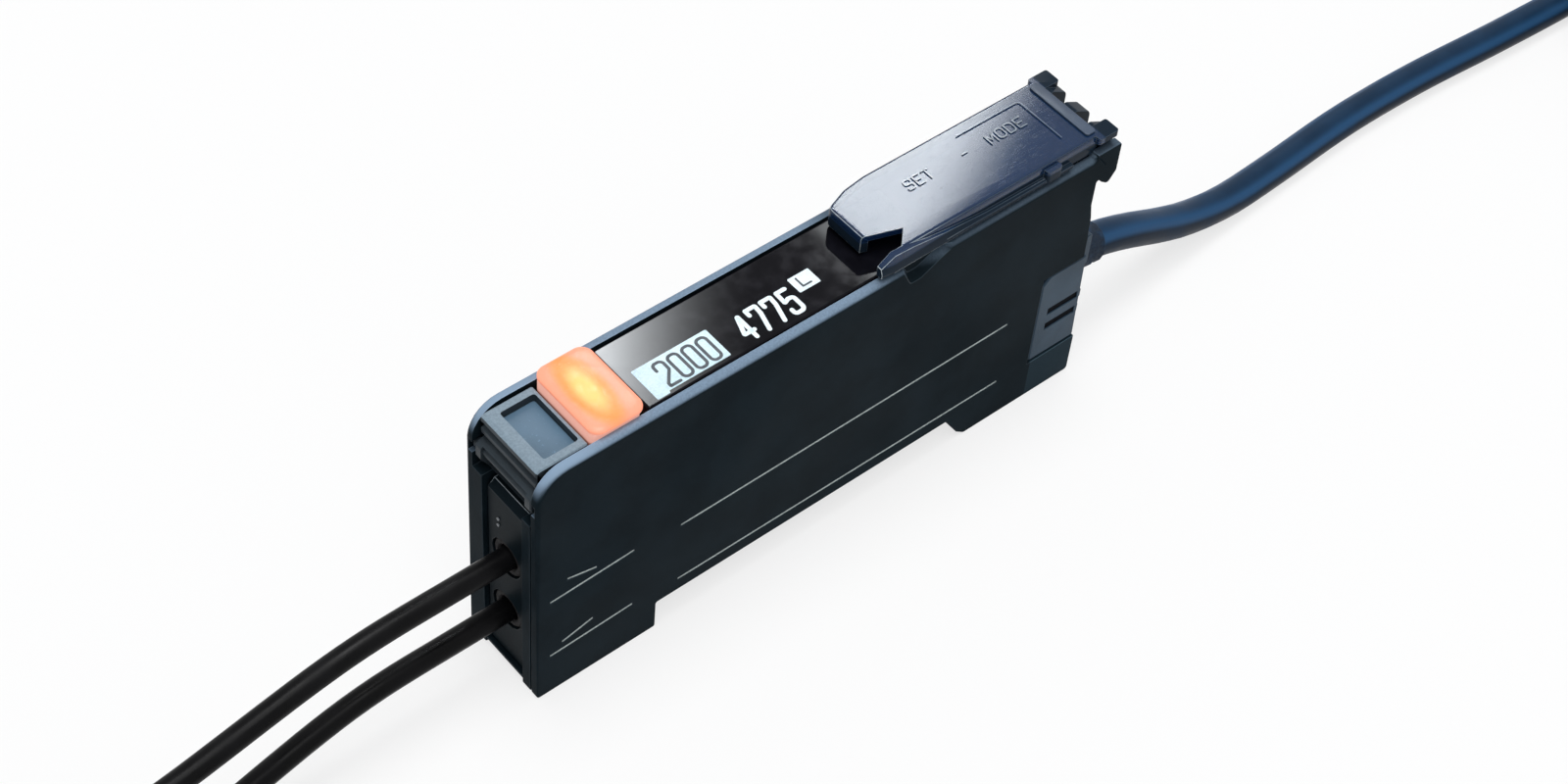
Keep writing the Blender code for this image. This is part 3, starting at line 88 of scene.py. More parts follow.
class SensorColours(PropertyGroup):
    housing: colour("Housing", "Moulded plastic of both housing halves", (0.008, 0.0145, 0.0195))
    # Rims: a painted highlight colour, which up-facing rims take in place of light from above.
    rims: colour("Rims", "Faded upper edges of the housing", (0.205, 0.285, 0.385))
    lever: colour("Lever", "Plastic of the lock lever", (0.22, 0.29, 0.35))
    slate: colour("Slate", "Plastic of the plug and the keys", (0.038, 0.066, 0.098))
    window: colour("Window", "Smoked display window", (0.004, 0.004, 0.006))
    cover: colour("Cover", "Tint of the smoked cover", (0.022, 0.07, 0.19))
    lens_middle: colour("Lens middle", "Glow in the middle of the lens", (1.0, 0.78, 0.22))
    lens_body: colour("Lens body", "Glow round the middle", (1.0, 0.33, 0.075))
    lens_edge: colour("Lens edge", "Colour of the lens's border", (0.84, 0.24, 0.115))
    field: colour("Field", "Lit field behind the dark digits", (0.60, 0.80, 0.90))
    digits: colour("Digits", "Lit digits", (0.72, 0.86, 0.93))
    fibre: colour("Fibre", "Jacket of the plastic fibres", (0.0035, 0.0035, 0.004))
    lead: colour("Lead", "Jacket of the lead", (0.0035, 0.0125, 0.028))


class SensorSizes(PropertyGroup):
    fibre: length("Fibre", "Diameter of a plastic fibre's jacket", 2.2)
    lead: length("Lead", "Diameter of the lead's jacket", 3.6)
    core: length("Core", "Diameter of one insulated core", 1.1)
    tie: length("Tie", "Thickness of a tie round a hank", 0.26)
    rolled_edge: length("Rolled edge", "Rounding of the moulded edges", 0.05)
    print_height: length("Print height", "How far print stands on a surface", 0.015)


class SensorStage(PropertyGroup):
    sky: amount("Sky", "Strength of the even light", 0.3)
    key: amount("Key lamp", "Strength of the upper lamp", 1.3)
    back: amount("Back lamp", "Strength of the lamp behind", 1.3)
    lens: amount("Focal length", "Camera lens in millimetres", 63.35, 1.0)


def sizes():
    return bpy.context.scene.sensor_sizes


def tinted(value, factor):
    return tuple(min(1.0, c * factor) for c in value[:3])


def tone(name, factor=1.0):
    """One of the colours that a user may change, tinted."""
    return tinted(getattr(bpy.context.scene.sensor_colours, name), factor)


def configure(thing, **settings):
    for key, value in settings.items():
        setattr(thing, key, value)
    return thing


# Shapes
NEARLY_STRAIGHT = 0.02
MOST_OF_A_SIDE = 0.49


def turned(v, angle):
    v = v.copy()
    v.rotate(Matrix.Rotation(angle, 2))
    return v


def corner_arc(before, here, after, per_turn):
    """Points of the arc in the corner at a point (u, v, radius) between its neighbours."""
    p, r = Vector(here[:2]), here[2]
    a, b = Vector(before[:2]) - p, Vector(after[:2]) - p
    if r <= 0 or a.length == 0 or b.length == 0:
        return [p]
    limit = min(a.length, b.length)
    a, b = a.normalized(), b.normalized()
    half = a.angle(b) / 2
    if half > pi / 2 - NEARLY_STRAIGHT:
        return [p]
    reach = min(r / tan(half), limit * MOST_OF_A_SIDE)
    r = reach * tan(half)
    centre = p + (a + b).normalized() * (r / sin(half))
    start, end = p + a * reach - centre, p + b * reach - centre
    sweep = start.angle_signed(end)
    steps = max(2, round(abs(sweep) / (2 * pi) * per_turn))
    return [centre + turned(start, -sweep * k / steps) for k in range(steps + 1)]


def fillet(points, per_turn=48):
    """The closed outline through points (u, v, radius), with an arc at each corner."""
    out = []
    for corner in zip(points[-1:] + points[:-1], points, points[1:] + points[:1]):
        out += corner_arc(*corner, per_turn)
    return out


def open_fillet(points, per_turn=32):
    """The open line through points (u, v, radius), with an arc at each inner corner."""
    out = [Vector(points[0][:2])]
    for corner in zip(points, points[1:], points[2:]):
        out += corner_arc(*corner, per_turn)
    return out + [Vector(points[-1][:2])]


def round_rect(u0, u1, v0, v1, r, per_turn=48):
    return fillet([(u0, v0, r), (u1, v0, r), (u1, v1, r), (u0, v1, r)], per_turn)


def inset(outline, amount):
    """The outline moved inwards by an amount."""
    if sum(a.x * b.y - b.x * a.y for a, b in zip(outline, outline[1:] + outline[:1])) < 0:
        outline = outline[::-1]
    out = []
    for i, p in enumerate(outline):
        e1 = (p - outline[i - 1]).normalized()
        e2 = (outline[(i + 1) % len(outline)] - p).normalized()
        n1, n2 = Vector((-e1.y, e1.x)), Vector((-e2.y, e2.x))
        out.append(p + (n1 + n2) / (1 + n1.dot(n2)) * amount)
    return out


def linked(name, data):
    """A new object of the scene with the data."""
    obj = bpy.data.objects.new(name, data)
    bpy.context.scene.collection.objects.link(obj)
    return obj


def shaded(name, mesh, angle, *finishes):
    """A new object from a mesh, soft-shaded up to the angle, with its finishes."""
    mesh.shade_smooth()
    mesh.set_sharp_from_angle(angle=radians(angle))
    for finish in finishes:
        mesh.materials.append(finish)
    return linked(name, mesh)


def piece(name, bm, finish, smooth=40.0):
    """A new object from a bmesh, with one finish."""
    bmesh.ops.recalc_face_normals(bm, faces=bm.faces)
    mesh = bpy.data.meshes.new(name)
    bm.to_mesh(mesh)
    bm.free()
    return shaded(name, mesh, smooth, finish)


def built(name, finish, add, *values, smooth=40.0):
    """A new object from what one of the add functions makes."""
    bm = bmesh.new()
    add(bm, *values)
    return piece(name, bm, finish, smooth)


def add_loft(bm, rings, closed=False):
    """Faces through rings of equally many points, capped at both ends or closed on itself."""
    rows = [[bm.verts.new(p) for p in ring] for ring in rings]
    n = len(rows[0])
    for low, high in list(zip(rows, rows[1:])) + ([(rows[-1], rows[0])] if closed else []):
        for k in range(n):
            bm.faces.new((low[k], low[(k + 1) % n], high[(k + 1) % n], high[k]))
    if not closed:
        bm.faces.new(rows[0][::-1])
        bm.faces.new(rows[-1])


def add_slab(bm, outline, z0, z1, rolled):
    """A flat-lying plate with its upper and lower edges rolled."""
    steps, hair = 4, 1e-6
    quarter = [pi / 2 * k / steps for k in range(steps + 1)]
    rings = []
    for turn, z, way in [(t, z0, 1) for t in quarter] + [(t, z1, -1) for t in quarter[::-1]]:
        line = inset(outline, rolled * (1 - sin(turn)) + hair)
        rings.append([at(p.x, p.y, z + way * rolled * (1 - cos(turn))) for p in line])
    add_loft(bm, rings)


def add_box(bm, xs, ys, zs):
    """A plain box between pairs of limits in millimetres."""
    (y0, y1), (z0, z1) = ys, zs
    add_loft(bm, [[at(x, y0, z0), at(x, y1, z0), at(x, y1, z1), at(x, y0, z1)] for x in xs])


def add_turned(bm, profile, place, sides):
    """A turned solid: profile gives (along, radius) pairs, place puts (along, a, b)."""
    turns = [2 * pi * k / sides for k in range(sides)]
    rows = []
    for w, r in profile:
        if r == 0:
            rows.append([bm.verts.new(place(w, 0, 0))] * sides)
        else:
            rows.append([bm.verts.new(place(w, r * cos(a), r * sin(a))) for a in turns])
    for low, high in zip(rows, rows[1:]):
        for k in range(sides):
            quad = [low[k], low[(k + 1) % sides], high[(k + 1) % sides], high[k]]
            corners = list(dict.fromkeys(quad))
            if len(corners) > 2:
                bm.faces.new(corners)


def settle(obj, slot, *nodes, body="housing"):
    """The piece rides on its body and stands for its CAD nodes, which it hides. The slot is not
    used.
    """
    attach(obj, body)
    if nodes:
        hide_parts(*nodes)
    return obj


def dressed(node, finish, slot, rolled=None, angle=32.0, arris=None, body="housing"):
    """A copy of a CAD solid in its place, welded and soft-shaded, with rolled edges, which take a
    finish of their own where one is given: a lighter one, as a painted edge highlight."""
    weld, flat = 0.003 * MM, radians(0.8)
    bm = bmesh.new()
    bm.from_mesh(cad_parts[node].data)
    bmesh.ops.remove_doubles(bm, verts=bm.verts, dist=weld)
    bmesh.ops.dissolve_limit(bm, angle_limit=flat, verts=bm.verts, edges=bm.edges)
    bm.verts.index_update()
    points = [v.co.copy() for v in bm.verts]
    faces = [[v.index for v in face.verts] for face in bm.faces]
    bm.free()
    mesh = bpy.data.meshes.new(f"{node}_dressed")
    mesh.from_pydata(points, [], faces)
    obj = shaded(mesh.name, mesh, angle, *((finish, arris) if arris else (finish,)))
    rolled = sizes().rolled_edge if rolled is None else rolled * MM
    if rolled:
        configure(obj.modifiers.new("rolled edges", "BEVEL"), width=rolled, segments=2,
                  limit_method="ANGLE", angle_limit=radians(angle),
                  use_clamp_overlap=False, material=1 if arris else -1)
    configure(obj.modifiers.new("even shading", "WEIGHTED_NORMAL"), weight=100, keep_sharp=True)
    return settle(obj, slot, node, body=body)


# Finishes
class Nodes:
    """The node tree of a material or a world, and short ways to add to it."""

    def __init__(self, owner, bare=False):
        owner.use_nodes = True
        self.owner, self.tree = owner, owner.node_tree
        if bare:
            self.tree.nodes.clear()

    def feed(self, node, inputs):
        """Give sockets, by name or number, a value or another node's output each."""
        for socket, value in inputs.items():
            if isinstance(value, NodeSocket):
                self.tree.links.new(value, node.inputs[socket])
            else:
                node.inputs[socket].default_value = value

    def add(self, kind, inputs=None, **settings):
        """The outputs of a new node with its settings and inputs."""
        node = configure(self.tree.nodes.new(kind), **settings)
        self.feed(node, inputs or {})
        return node.outputs

    def spread(self, source, low, high, new_low=0.0, new_high=1.0, how="SMOOTHSTEP"):
        return self.add("ShaderNodeMapRange", {
            "Value": source, "From Min": low, "From Max": high, "To Min": new_low,
            "To Max": new_high}, interpolation_type=how)["Result"]

    def maths(self, how, a, b=None):
        inputs = {0: a} if b is None else {0: a, 1: b}
        return self.add("ShaderNodeMath", inputs, operation=how)["Value"]

    def times(self, a, b):
        return self.maths("MULTIPLY", a, b)

    def mixed(self, share, a, b):
        return self.add("ShaderNodeMixShader", {"Fac": share, 1: a, 2: b})["Shader"]

    def live_rays(self):
        """1 on rays that reach the camera straight, by gloss or through glass, 0 on others."""
        path = self.add("ShaderNodeLightPath")
        seen = self.maths("MAXIMUM", path["Is Camera Ray"], path["Is Glossy Ray"])
        return self.maths("MAXIMUM", seen, path["Is Transmission Ray"])


class Finish(Nodes):
    """A material under construction, with its shader and the piece's own coordinates."""

    def __init__(self, name, specular=0.5):
        super().__init__(bpy.data.materials.new(name))
        self.places = self.add("ShaderNodeTexCoord")["Object"]
        self.shader = self.tree.nodes["Principled BSDF"]
        self.give(Specular_IOR_Level=specular)

    def give(self, **values):
        """Values or outputs for the shader's sockets, with _ for each space: the material."""
        self.feed(self.shader, {key.replace("_", " "): value for key, value in values.items()})
        return self.owner

    def noise(self, scale, detail=2.0, stretch=None):
        """Noise over the object's own coordinates, scale in features per metre."""
        source = self.places
        if stretch:
            source = self.add("ShaderNodeMapping", {"Vector": source, "Scale": stretch})["Vector"]
        return self.add("ShaderNodeTexNoise",
                        {"Vector": source, "Scale": scale, "Detail": detail})["Fac"]

    def blend(self, share, a, b):
        """Colour a where the share is 0 and b where it is 1; each a colour or a socket."""
        a, b = [(*v[:3], 1) if isinstance(v, tuple) else v for v in (a, b)]
        return self.add("ShaderNodeMix", {"Factor": share, 6: a, 7: b}, data_type="RGBA")[2]

    def mottle(self, source, low, high, value, dark, pale):
        """The colour in two tints, spread by a noise."""
        return self.blend(self.spread(source, low, high), tinted(value, dark), tinted(value, pale))

    def axis(self, name, source=None):
        return self.add("ShaderNodeSeparateXYZ", {"Vector": source or self.places})[name]

    def across(self, name, low, high, new_low=0.0, new_high=1.0):
        """A share that changes between two places on X or heights on Z, in millimetres."""
        shift = FRONT_X if name == "X" else 0.0
        return self.spread(self.axis(name), shift + low * MM, shift + high * MM, new_low, new_high)

    def upward(self):
        return self.axis("Z", self.add("ShaderNodeNewGeometry")["Normal"])

    def bump(self, height, depth):
        """A relief of the height, its depth in millimetres."""
        return self.add("ShaderNodeBump", {"Height": height, "Strength": 1.0,
                                           "Distance": depth * MM})["Normal"]


# Where the housing takes its painted highlight, in place of light from above, or is lighter, in
# millimetres
RIM_HEIGHTS = (28.9, 29.8)
FRONT_HEIGHTS, FRONT_ENDS = (24.5, 28.0), (6.0, 10.0)
BESIDE_COVER, SHARE_THERE = (34.0, 40.0), 0.35
PALEST_FRONT = (4.0, 9.0)
TAIL_PLACES, TAIL_HEIGHTS = (59.0, 59.2), (5.2, 5.35)


def housing_painted_light(f, base, worn, value, lit_top):
    """The housing's colour, its painted highlight colour and where that is: on the rims, less
    beside the cover, and palest on the front's curve, a painted reflection there. The panel at the
    tail is lighter."""
    front = f.times(f.across("X", *FRONT_ENDS, 1.0, 0.0), f.across("Z", *FRONT_HEIGHTS))
    high = f.times(f.maths("MAXIMUM", f.across("Z", *RIM_HEIGHTS), front),
                   f.across("X", *BESIDE_COVER, 1.0, SHARE_THERE))
    worn = f.blend(f.across("X", *PALEST_FRONT), tinted(lit_top, 1.25), worn)
    tail = f.times(f.across("X", *TAIL_PLACES), f.across("Z", *TAIL_HEIGHTS, 1.0, 0.0))
    return f.blend(tail, base, tinted(value, 2.4)), worn, high


def moulded_plastic(name, value, rough=0.5, specular=0.3, grain=5200.0, depth=0.012, lit_top=None,
                    levels=None):
    """Fine spark-eroded plastic: tiny grain, cloudy colour and handled patches. Faces that look up
    take a lighter colour, a painted highlight for light from above, between the levels, or else
    where the housing's painted highlight goes."""
    f = Finish(name, specular)
    fine = f.noise(grain, 3.0)
    base = f.mottle(f.noise(160.0, 3.0), 0.3, 0.7, value, 0.82, 1.2)
    base = f.blend(f.times(f.spread(fine, 0.62, 0.75), 0.35), base, tinted(value, 2.2))
    if lit_top:
        worn = f.mottle(fine, 0.35, 0.65, lit_top, 0.9, 1.07)
        if levels:
            high = f.across("Z", *levels)
        else:
            base, worn, high = housing_painted_light(f, base, worn, value, lit_top)
        # Painted highlight: faces that look up take the lighter colour, as light from above would
        # give them.
        base = f.blend(f.times(f.spread(f.upward(), 0.15, 0.75), high), base, worn)
    return f.give(Base_Color=base, Normal=f.bump(fine, depth),
                  Roughness=f.spread(f.noise(60.0), 0.35, 0.7, rough - 0.06, rough + 0.08))


def jacket(name, value, rough, highlight_colour=None):
    """Extruded jacket: fine skin, handling marks and, where given, a painted highlight band along
    its top.
    """
    f = Finish(name, 0.08)
    marks = f.noise(240.0, 4.0)
    base = f.mottle(marks, 0.35, 0.75, value, 0.85, 1.5)
    # Painted highlight: a lighter band on the faces that look up.
    if highlight_colour:
        up = f.upward()
        highlight_band = f.times(f.spread(up, 0.3, 0.6), f.spread(up, 0.7, 0.97, 1.0, 0.25))
        base = f.blend(highlight_band, base, highlight_colour)
    return f.give(Base_Color=base, Normal=f.bump(f.noise(2600.0), 0.006),
                  Roughness=f.spread(marks, 0.3, 0.7, rough - 0.05, rough + 0.12))


def machined_metal(name, value, rough=0.24):
    """Plated turned metal: fine turning marks and cloudy plating."""
    f = Finish(name)
    clouds = f.noise(420.0, 3.0)
    return f.give(Metallic=1.0, Base_Color=f.mottle(clouds, 0.35, 0.7, value, 0.9, 1.06),
                  Roughness=f.spread(clouds, 0.3, 0.75, rough - 0.05, rough + 0.1),
                  Normal=f.bump(f.noise(900.0, 2.0, (9.0, 1.0, 1.0)), 0.004))


def soft_rubber(name, value):
    """Matt rubber with a dry, dusty skin."""
    f = Finish(name, 0.3)
    fine = f.noise(4200.0, 4.0)
    return f.give(Base_Color=f.mottle(f.noise(900.0, 4.0), 0.45, 0.75, value, 0.8, 2.4),
                  Roughness=f.spread(fine, 0.3, 0.7, 0.68, 0.86), Normal=f.bump(fine, 0.012))


def circuit_board(name):
    """Green solder mask over copper tracks, with rows of plated holes."""
    f = Finish(name)
    steps = []
    for axis, pitch in (("X", 1.7), ("Y", 1.1), ("Z", 1.4)):
        wave = f.maths("SINE", f.times(f.axis(axis), 2 * pi / (pitch * MM)))
        steps.append(f.spread(wave, 0.82, 0.93))
    most = f.maths("MAXIMUM", steps[0], f.maths("MAXIMUM", steps[1], steps[2]))
    tracks = f.times(most, f.spread(f.noise(260.0, 1.0), 0.46, 0.54))
    return f.give(Base_Color=f.blend(tracks, (0.012, 0.085, 0.038), (0.05, 0.21, 0.09)),
                  Roughness=f.spread(f.noise(1500.0), 0.3, 0.7, 0.28, 0.42),
                  Normal=f.bump(tracks, 0.02))


def smoked_glass(name, value):
    """Polished black window: almost no colour, fine polishing haze in the gloss."""
    f = Finish(name, 0.07)
    haze = f.noise(700.0, 4.0)
    return f.give(Base_Color=f.mottle(haze, 0.4, 0.7, value, 1.0, 1.5),
                  Roughness=f.spread(haze, 0.35, 0.75, 0.05, 0.1))


def clear_plastic(name, value, clarity=1.0, dark_below=None, dark_beyond=None):
    """Clear or smoked moulding: refracting body, light scratches and moulding haze. It can be
    darker below a height and beyond a place along X, where it is thick: painted shade on those
    walls."""
    f = Finish(name)
    f.give(Transmission_Weight=clarity, IOR=1.34)
    base = f.mottle(f.noise(120.0), 0.3, 0.7, value, 0.94, 1.04)
    # Painted shade: walls below the top and at the rear take a dark colour and less gloss.
    if dark_below:
        fade = 0.5
        thick = f.maths("MAXIMUM", f.across("Z", dark_below, dark_below + fade, 1.0, 0.0),
                        f.across("X", dark_beyond, dark_beyond + fade))
        base = f.blend(thick, base, (0.012, 0.022, 0.036))
        f.give(Transmission_Weight=f.spread(thick, 0.0, 1.0, clarity, 0.1 * clarity),
               Specular_IOR_Level=f.spread(thick, 0.0, 1.0, 0.5, 0.06))
    scratches = f.noise(900.0, 3.0, (1.0, 7.0, 1.0))
    return f.give(Base_Color=base, Roughness=f.spread(scratches, 0.45, 0.8, 0.05, 0.13))


def cover_edge():
    """Edges of the cover with a painted highlight: pale at its front lip and darker to the rear."""
    f = Finish("cover_edge_worn", 0.2)
    worn = f.noise(1400.0, 3.0)
    pale = f.blend(f.spread(worn, 0.35, 0.7), (0.30, 0.36, 0.39), (0.52, 0.58, 0.62))
    return f.give(Base_Color=f.blend(f.across("X", 37.0, 48.0), pale, (0.03, 0.05, 0.075)),
                  Roughness=f.spread(worn, 0.3, 0.7, 0.16, 0.3), Normal=f.bump(worn, 0.003))


def lit_lens(name):
    """Translucent lens lit from inside: a bright oval in a warm body, a salmon border, a paler
    skirt whose whiteness is a painted sheen, and painted shade on the stem under it."""
    f = Finish(name, 0.15)
    low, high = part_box("indicator_lens")
    centre = (low + high) / 2
    oval = f.add("ShaderNodeMapping", {
        "Vector": f.places, "Location": (centre.x - 0.45 * MM, centre.y, 0.0),
        "Scale": (1.85 * MM, 4.6 * MM, 1.0)}, vector_type="TEXTURE")["Vector"]
    flat = f.add("ShaderNodeVectorMath", {0: oval, 1: (1, 1, 0)}, operation="MULTIPLY")["Vector"]
    away = f.add("ShaderNodeVectorMath", {0: flat}, operation="LENGTH")["Value"]
    cloudy = f.times(f.maths("SUBTRACT", f.noise(900.0), 0.5), 0.12)
    reach = f.maths("ADD", away, cloudy)
    glow = f.blend(f.spread(reach, 0.2, 0.8), tone("lens_middle"), tone("lens_body"))
    glow = f.blend(f.spread(reach, 0.78, 1.12), glow, tone("lens_edge"))
    top = high.z / MM
    # Painted sheen: the skirt glows paler; painted shade: the stem below the rims glows dark.
    for depth, end, value in ((0.75, 0.3, (0.78, 0.40, 0.33)), (2.0, 1.55, (0.10, 0.02, 0.01))):
        glow = f.blend(f.across("Z", top - depth, top - end), value, glow)
    base = f.blend(f.spread(reach, 0.7, 1.2), (0.30, 0.10, 0.03), (0.50, 0.25, 0.19))
    return f.give(Base_Color=base, Emission_Color=glow, Emission_Strength=0.8,
                  Roughness=f.spread(f.noise(1300.0), 0.3, 0.7, 0.22, 0.34),
                  Normal=f.bump(f.noise(1500.0), 0.01))


def lit_print(name, value, strength=0.85):
    """Lit segments: even glow with the faint dot grain of a small display."""
    f = Finish(name)
    grain = f.noise(5200.0, 1.0)
    return f.give(Base_Color=f.mottle(grain, 0.3, 0.7, value, 0.18, 0.24),
                  Emission_Color=f.mottle(grain, 0.3, 0.7, value, 0.9, 1.05),
                  Emission_Strength=strength, Roughness=f.spread(grain, 0.3, 0.7, 0.3, 0.4))


def ink(name, value, rough=0.5, specular=0.25):
    """Pad print: slightly uneven ink."""
    f = Finish(name, specular)
    grain = f.noise(4000.0)
    return f.give(Base_Color=f.mottle(grain, 0.3, 0.7, value, 0.86, 1.1),
                  Roughness=f.spread(grain, 0.3, 0.7, rough - 0.05, rough + 0.05))


# Cords
def soft(t):
    """From 0 to 1 with no slope at either end."""
    return t * t * (3 - 2 * t)


def smooth_route(points, step):
    """Even points on a smooth curve through the route's own points, in millimetres."""
    per_span = 24
    pts = [Vector(p) for p in points]
    pts = [pts[0] * 2 - pts[1]] + pts + [pts[-1] * 2 - pts[-2]]
    fine = []
    for p0, p1, p2, p3 in zip(pts, pts[1:], pts[2:], pts[3:]):
        for k in range(per_span):
            t = k / per_span
            fine.append(((p1 * 2) + (p2 - p0) * t + (p0 * 2 - p1 * 5 + p2 * 4 - p3) * t * t
                         + (p1 * 3 - p0 - p2 * 3 + p3) * t ** 3) / 2)
    fine.append(pts[-2])
    marks = [0.0]
    for a, b in zip(fine, fine[1:]):
        marks.append(marks[-1] + (b - a).length)
    count = max(2, round(marks[-1] / step))
    out, i = [], 0
    for k in range(count + 1):
        want = marks[-1] * k / count
        while i < len(marks) - 2 and marks[i + 1] < want:
            i += 1
        share = (want - marks[i]) / max(1e-9, marks[i + 1] - marks[i])
        out.append(fine[i].lerp(fine[i + 1], min(1, max(0, share))))
    return out


def above(points, level):
    """The points with none of them below the level, so that a cord rests on the bench."""
    return [Vector((p.x, p.y, max(p.z, level))) for p in points]


def eased(a, b, count):
    """Points after a up to b: even steps along X, slow at both ends across it."""
    out = []
    for t in (k / count for k in range(1, count + 1)):
        out.append((a[0] + (b[0] - a[0]) * t, a[1] + (b[1] - a[1]) * soft(t),
                    a[2] + (b[2] - a[2]) * soft(t)))
    return out


def wound(x, way, run, middle, turns, leave=None):
    """The way of a cord folded to and fro, each turn with a radius and a height. The last
    one comes round once more to the height leave, or ends by its far fold without one."""
    run_steps, fold_steps = 5, 12
    shares = [i / run_steps for i in range(run_steps + 1)]
    folds = [i / fold_steps for i in range(1, fold_steps)]
    out = []
    for (r, z), (next_r, next_z) in zip(turns, turns[1:] + [(turns[-1][0], leave)]):
        out += [(x + way * run * s, middle + r, z) for s in shares]
        out += [(x + way * (run + r * sin(pi * t)), middle + r * cos(pi * t), z)
                for t in folds]
        out += [(x + way * run * s, middle - r, z) for s in shares[::-1]]
        for t in folds if next_z else ():
            now = r + (next_r - r) * soft(t)
            out.append((x - way * now * sin(pi * t),
                        middle - now * cos(pi * t), z + (next_z - z) * soft(t)))
    return out


def layered(layers, inner, d, low):
    """Turns of layers on each other: radius and height of each, a diameter apart."""
    return [(inner + k * d, low + i * d) for i, layer in enumerate(layers) for k in layer]


def cord_curve(name, points, diameter, finish, sides=4):
    """A cord's centreline as one open spline with a round bevel, points in millimetres."""
    curve = configure(bpy.data.curves.new(name, "CURVE"), dimensions="3D",
                      bevel_depth=diameter / 2, bevel_resolution=sides, use_fill_caps=True)
    line = curve.splines.new("POLY")
    line.points.add(len(points) - 1)
    for slot, p in zip(line.points, points):
        slot.co = (*at(*p), 1)
    line.use_smooth = True
    curve.materials.append(finish)
    return linked(name, curve)


FIBRE_LEVELS = {"lower": 0.0, "upper": 9.1}
FIBRE_HEIGHTS = {"lower": 7.7, "upper": 15.1}
FIBRE_ROUTE_END = -42.99
FIBRE_HANK_X, FIBRE_RUN, FIBRE_INNER = -51.0, 33.0, 6.6
LEAD_START = (71.037, 0.0, 10.314)
LEAD_ROUTE_END = 149.15
LEAD_HANK_X, LEAD_RUN, LEAD_INNER = 160.0, 57.0, 10.8
ON_BENCH = 0.05


def fibre_points(name):
    """A fibre's whole way: out of the block, down to the bench, its hank and its tail."""
    d = sizes().fibre / MM
    z, level = FIBRE_HEIGHTS[name], FIBRE_LEVELS[name] + d / 2 + ON_BENCH
    route = [(11.1, 0, z), (0, 0, z), (-5.5, 0, z), (-11, 0, z)]
    route += eased(route[-1], (FIBRE_ROUTE_END + 2, 0, level), 7) + [(FIBRE_ROUTE_END, 0, level)]
    middle = -(FIBRE_INNER + 3 * d)
    out_in, in_out = (3, 2, 1, 0), (0, 1, 2, 3)
    last = in_out if name == "lower" else in_out[1:]
    turns = layered((out_in, in_out, out_in, last), FIBRE_INNER, d, level)
    if name == "lower":
        start, end, steps = ((FIBRE_ROUTE_END, 2 * middle, level + 3 * d),
                             (FIBRE_ROUTE_END + 16, 2 * middle, 3.55), 6)
        roof = None
    else:
        roof = 19.3
        start, end, steps = (FIBRE_HANK_X - 1, 0, roof), (FIBRE_HANK_X - 29, middle, 21.75), 8
    hank = wound(FIBRE_HANK_X, -1, FIBRE_RUN, middle, turns, roof)
    tail = [start] + eased(start, end, steps)
    return above(smooth_route(route + hank + tail, 1.6), level), end


def lead_points():
    """The lead's whole way: out of its boot, down to the bench, its hank and its end."""
    d = sizes().lead / MM
    level = d / 2 + ON_BENCH
    start = Vector(LEAD_START)
    way = Vector((2, 0, -0.6)).normalized()
    route = [start - way * 0.4, start + way * 2.5]
    route += [start + Vector(p) for p in ((6, 0, -2.2), (10.5, 0.1, -4.4), (15.5, 0.3, -6.5))]
    low = Vector((start.x + 22, 0.6, level + 0.4))
    route.append(low)
    for share, sway in ((0.15, 1.1), (0.35, 1.7), (0.55, 1.5), (0.75, 0.7), (0.9, 0.2)):
        route.append((low.x + (LEAD_ROUTE_END - low.x) * share, sway, level))
    route.append((LEAD_ROUTE_END, 0, level))
    middle, roof = -(LEAD_INNER + d), 20.1
    turns = layered(((1, 0), (0, 1)) * 2 + ((1, 0),), LEAD_INNER, d, level)
    hank = wound(LEAD_HANK_X, 1, LEAD_RUN, middle, turns, roof)
    first, end = (LEAD_HANK_X + 2, middle + LEAD_INNER, roof), (204.0, middle, roof)
    tail = [first] + eased(first, end, 8)
    return above(smooth_route(route + hank + tail, 2.2), level), end


def tie(name, x, width, outline, finish, slot):
    """A closed strap across the runs of a hank, along an outline in Y and Z."""
    thick, half = sizes().tie / MM, width / 2
    round_off = thick * 0.35
    rings = []
    for out, edge in ((round_off, -half), (thick, round_off - half), (thick, half - round_off),
                      (round_off, half), (0, half - round_off), (0, round_off - half)):
        line = inset(outline, -out) if out else outline
        rings.append([at(x + edge, p.x, p.y) for p in line])
    settle(built(name, finish, add_loft, rings, True, smooth=50), slot)


class SENSOR_OT_fibres(Operator):
    """Lay both fibres: out of the block, into a hank each, with a tie round both"""
    bl_idname = "sensor.fibres"
    bl_label = "Fibres"

    def execute(self, context):
        d = sizes().fibre
        finish = jacket("fibre_jacket_satin", tone("fibre"), 0.3)
        nickel = machined_metal("bright_nickel", (0.72, 0.70, 0.65))
        for name, way in (("lower", 1), ("upper", -1)):
            points, end = fibre_points(name)
            points.append(Vector((end[0] + way * 1.6, end[1], end[2])))
            obj = cord_curve(f"plastic_fibre_{name}", points, d, finish, 5)
            settle(obj, "fibre_jacket", f"fibre_{name}", f"fibre_{name}_hank", f"fibre_{name}_tail")
            parts = sensing_head(name, end, way, nickel)
        tie("fibre_tie", FIBRE_HANK_X - FIBRE_RUN / 2, 6.0,
            round_rect(-27.55, 1.15, 0.28, 17.92, 1.3, 40),
            soft_rubber("tie_rubber", (0.02, 0.022, 0.025)), "fibre_jacket")
        return {"FINISHED"}


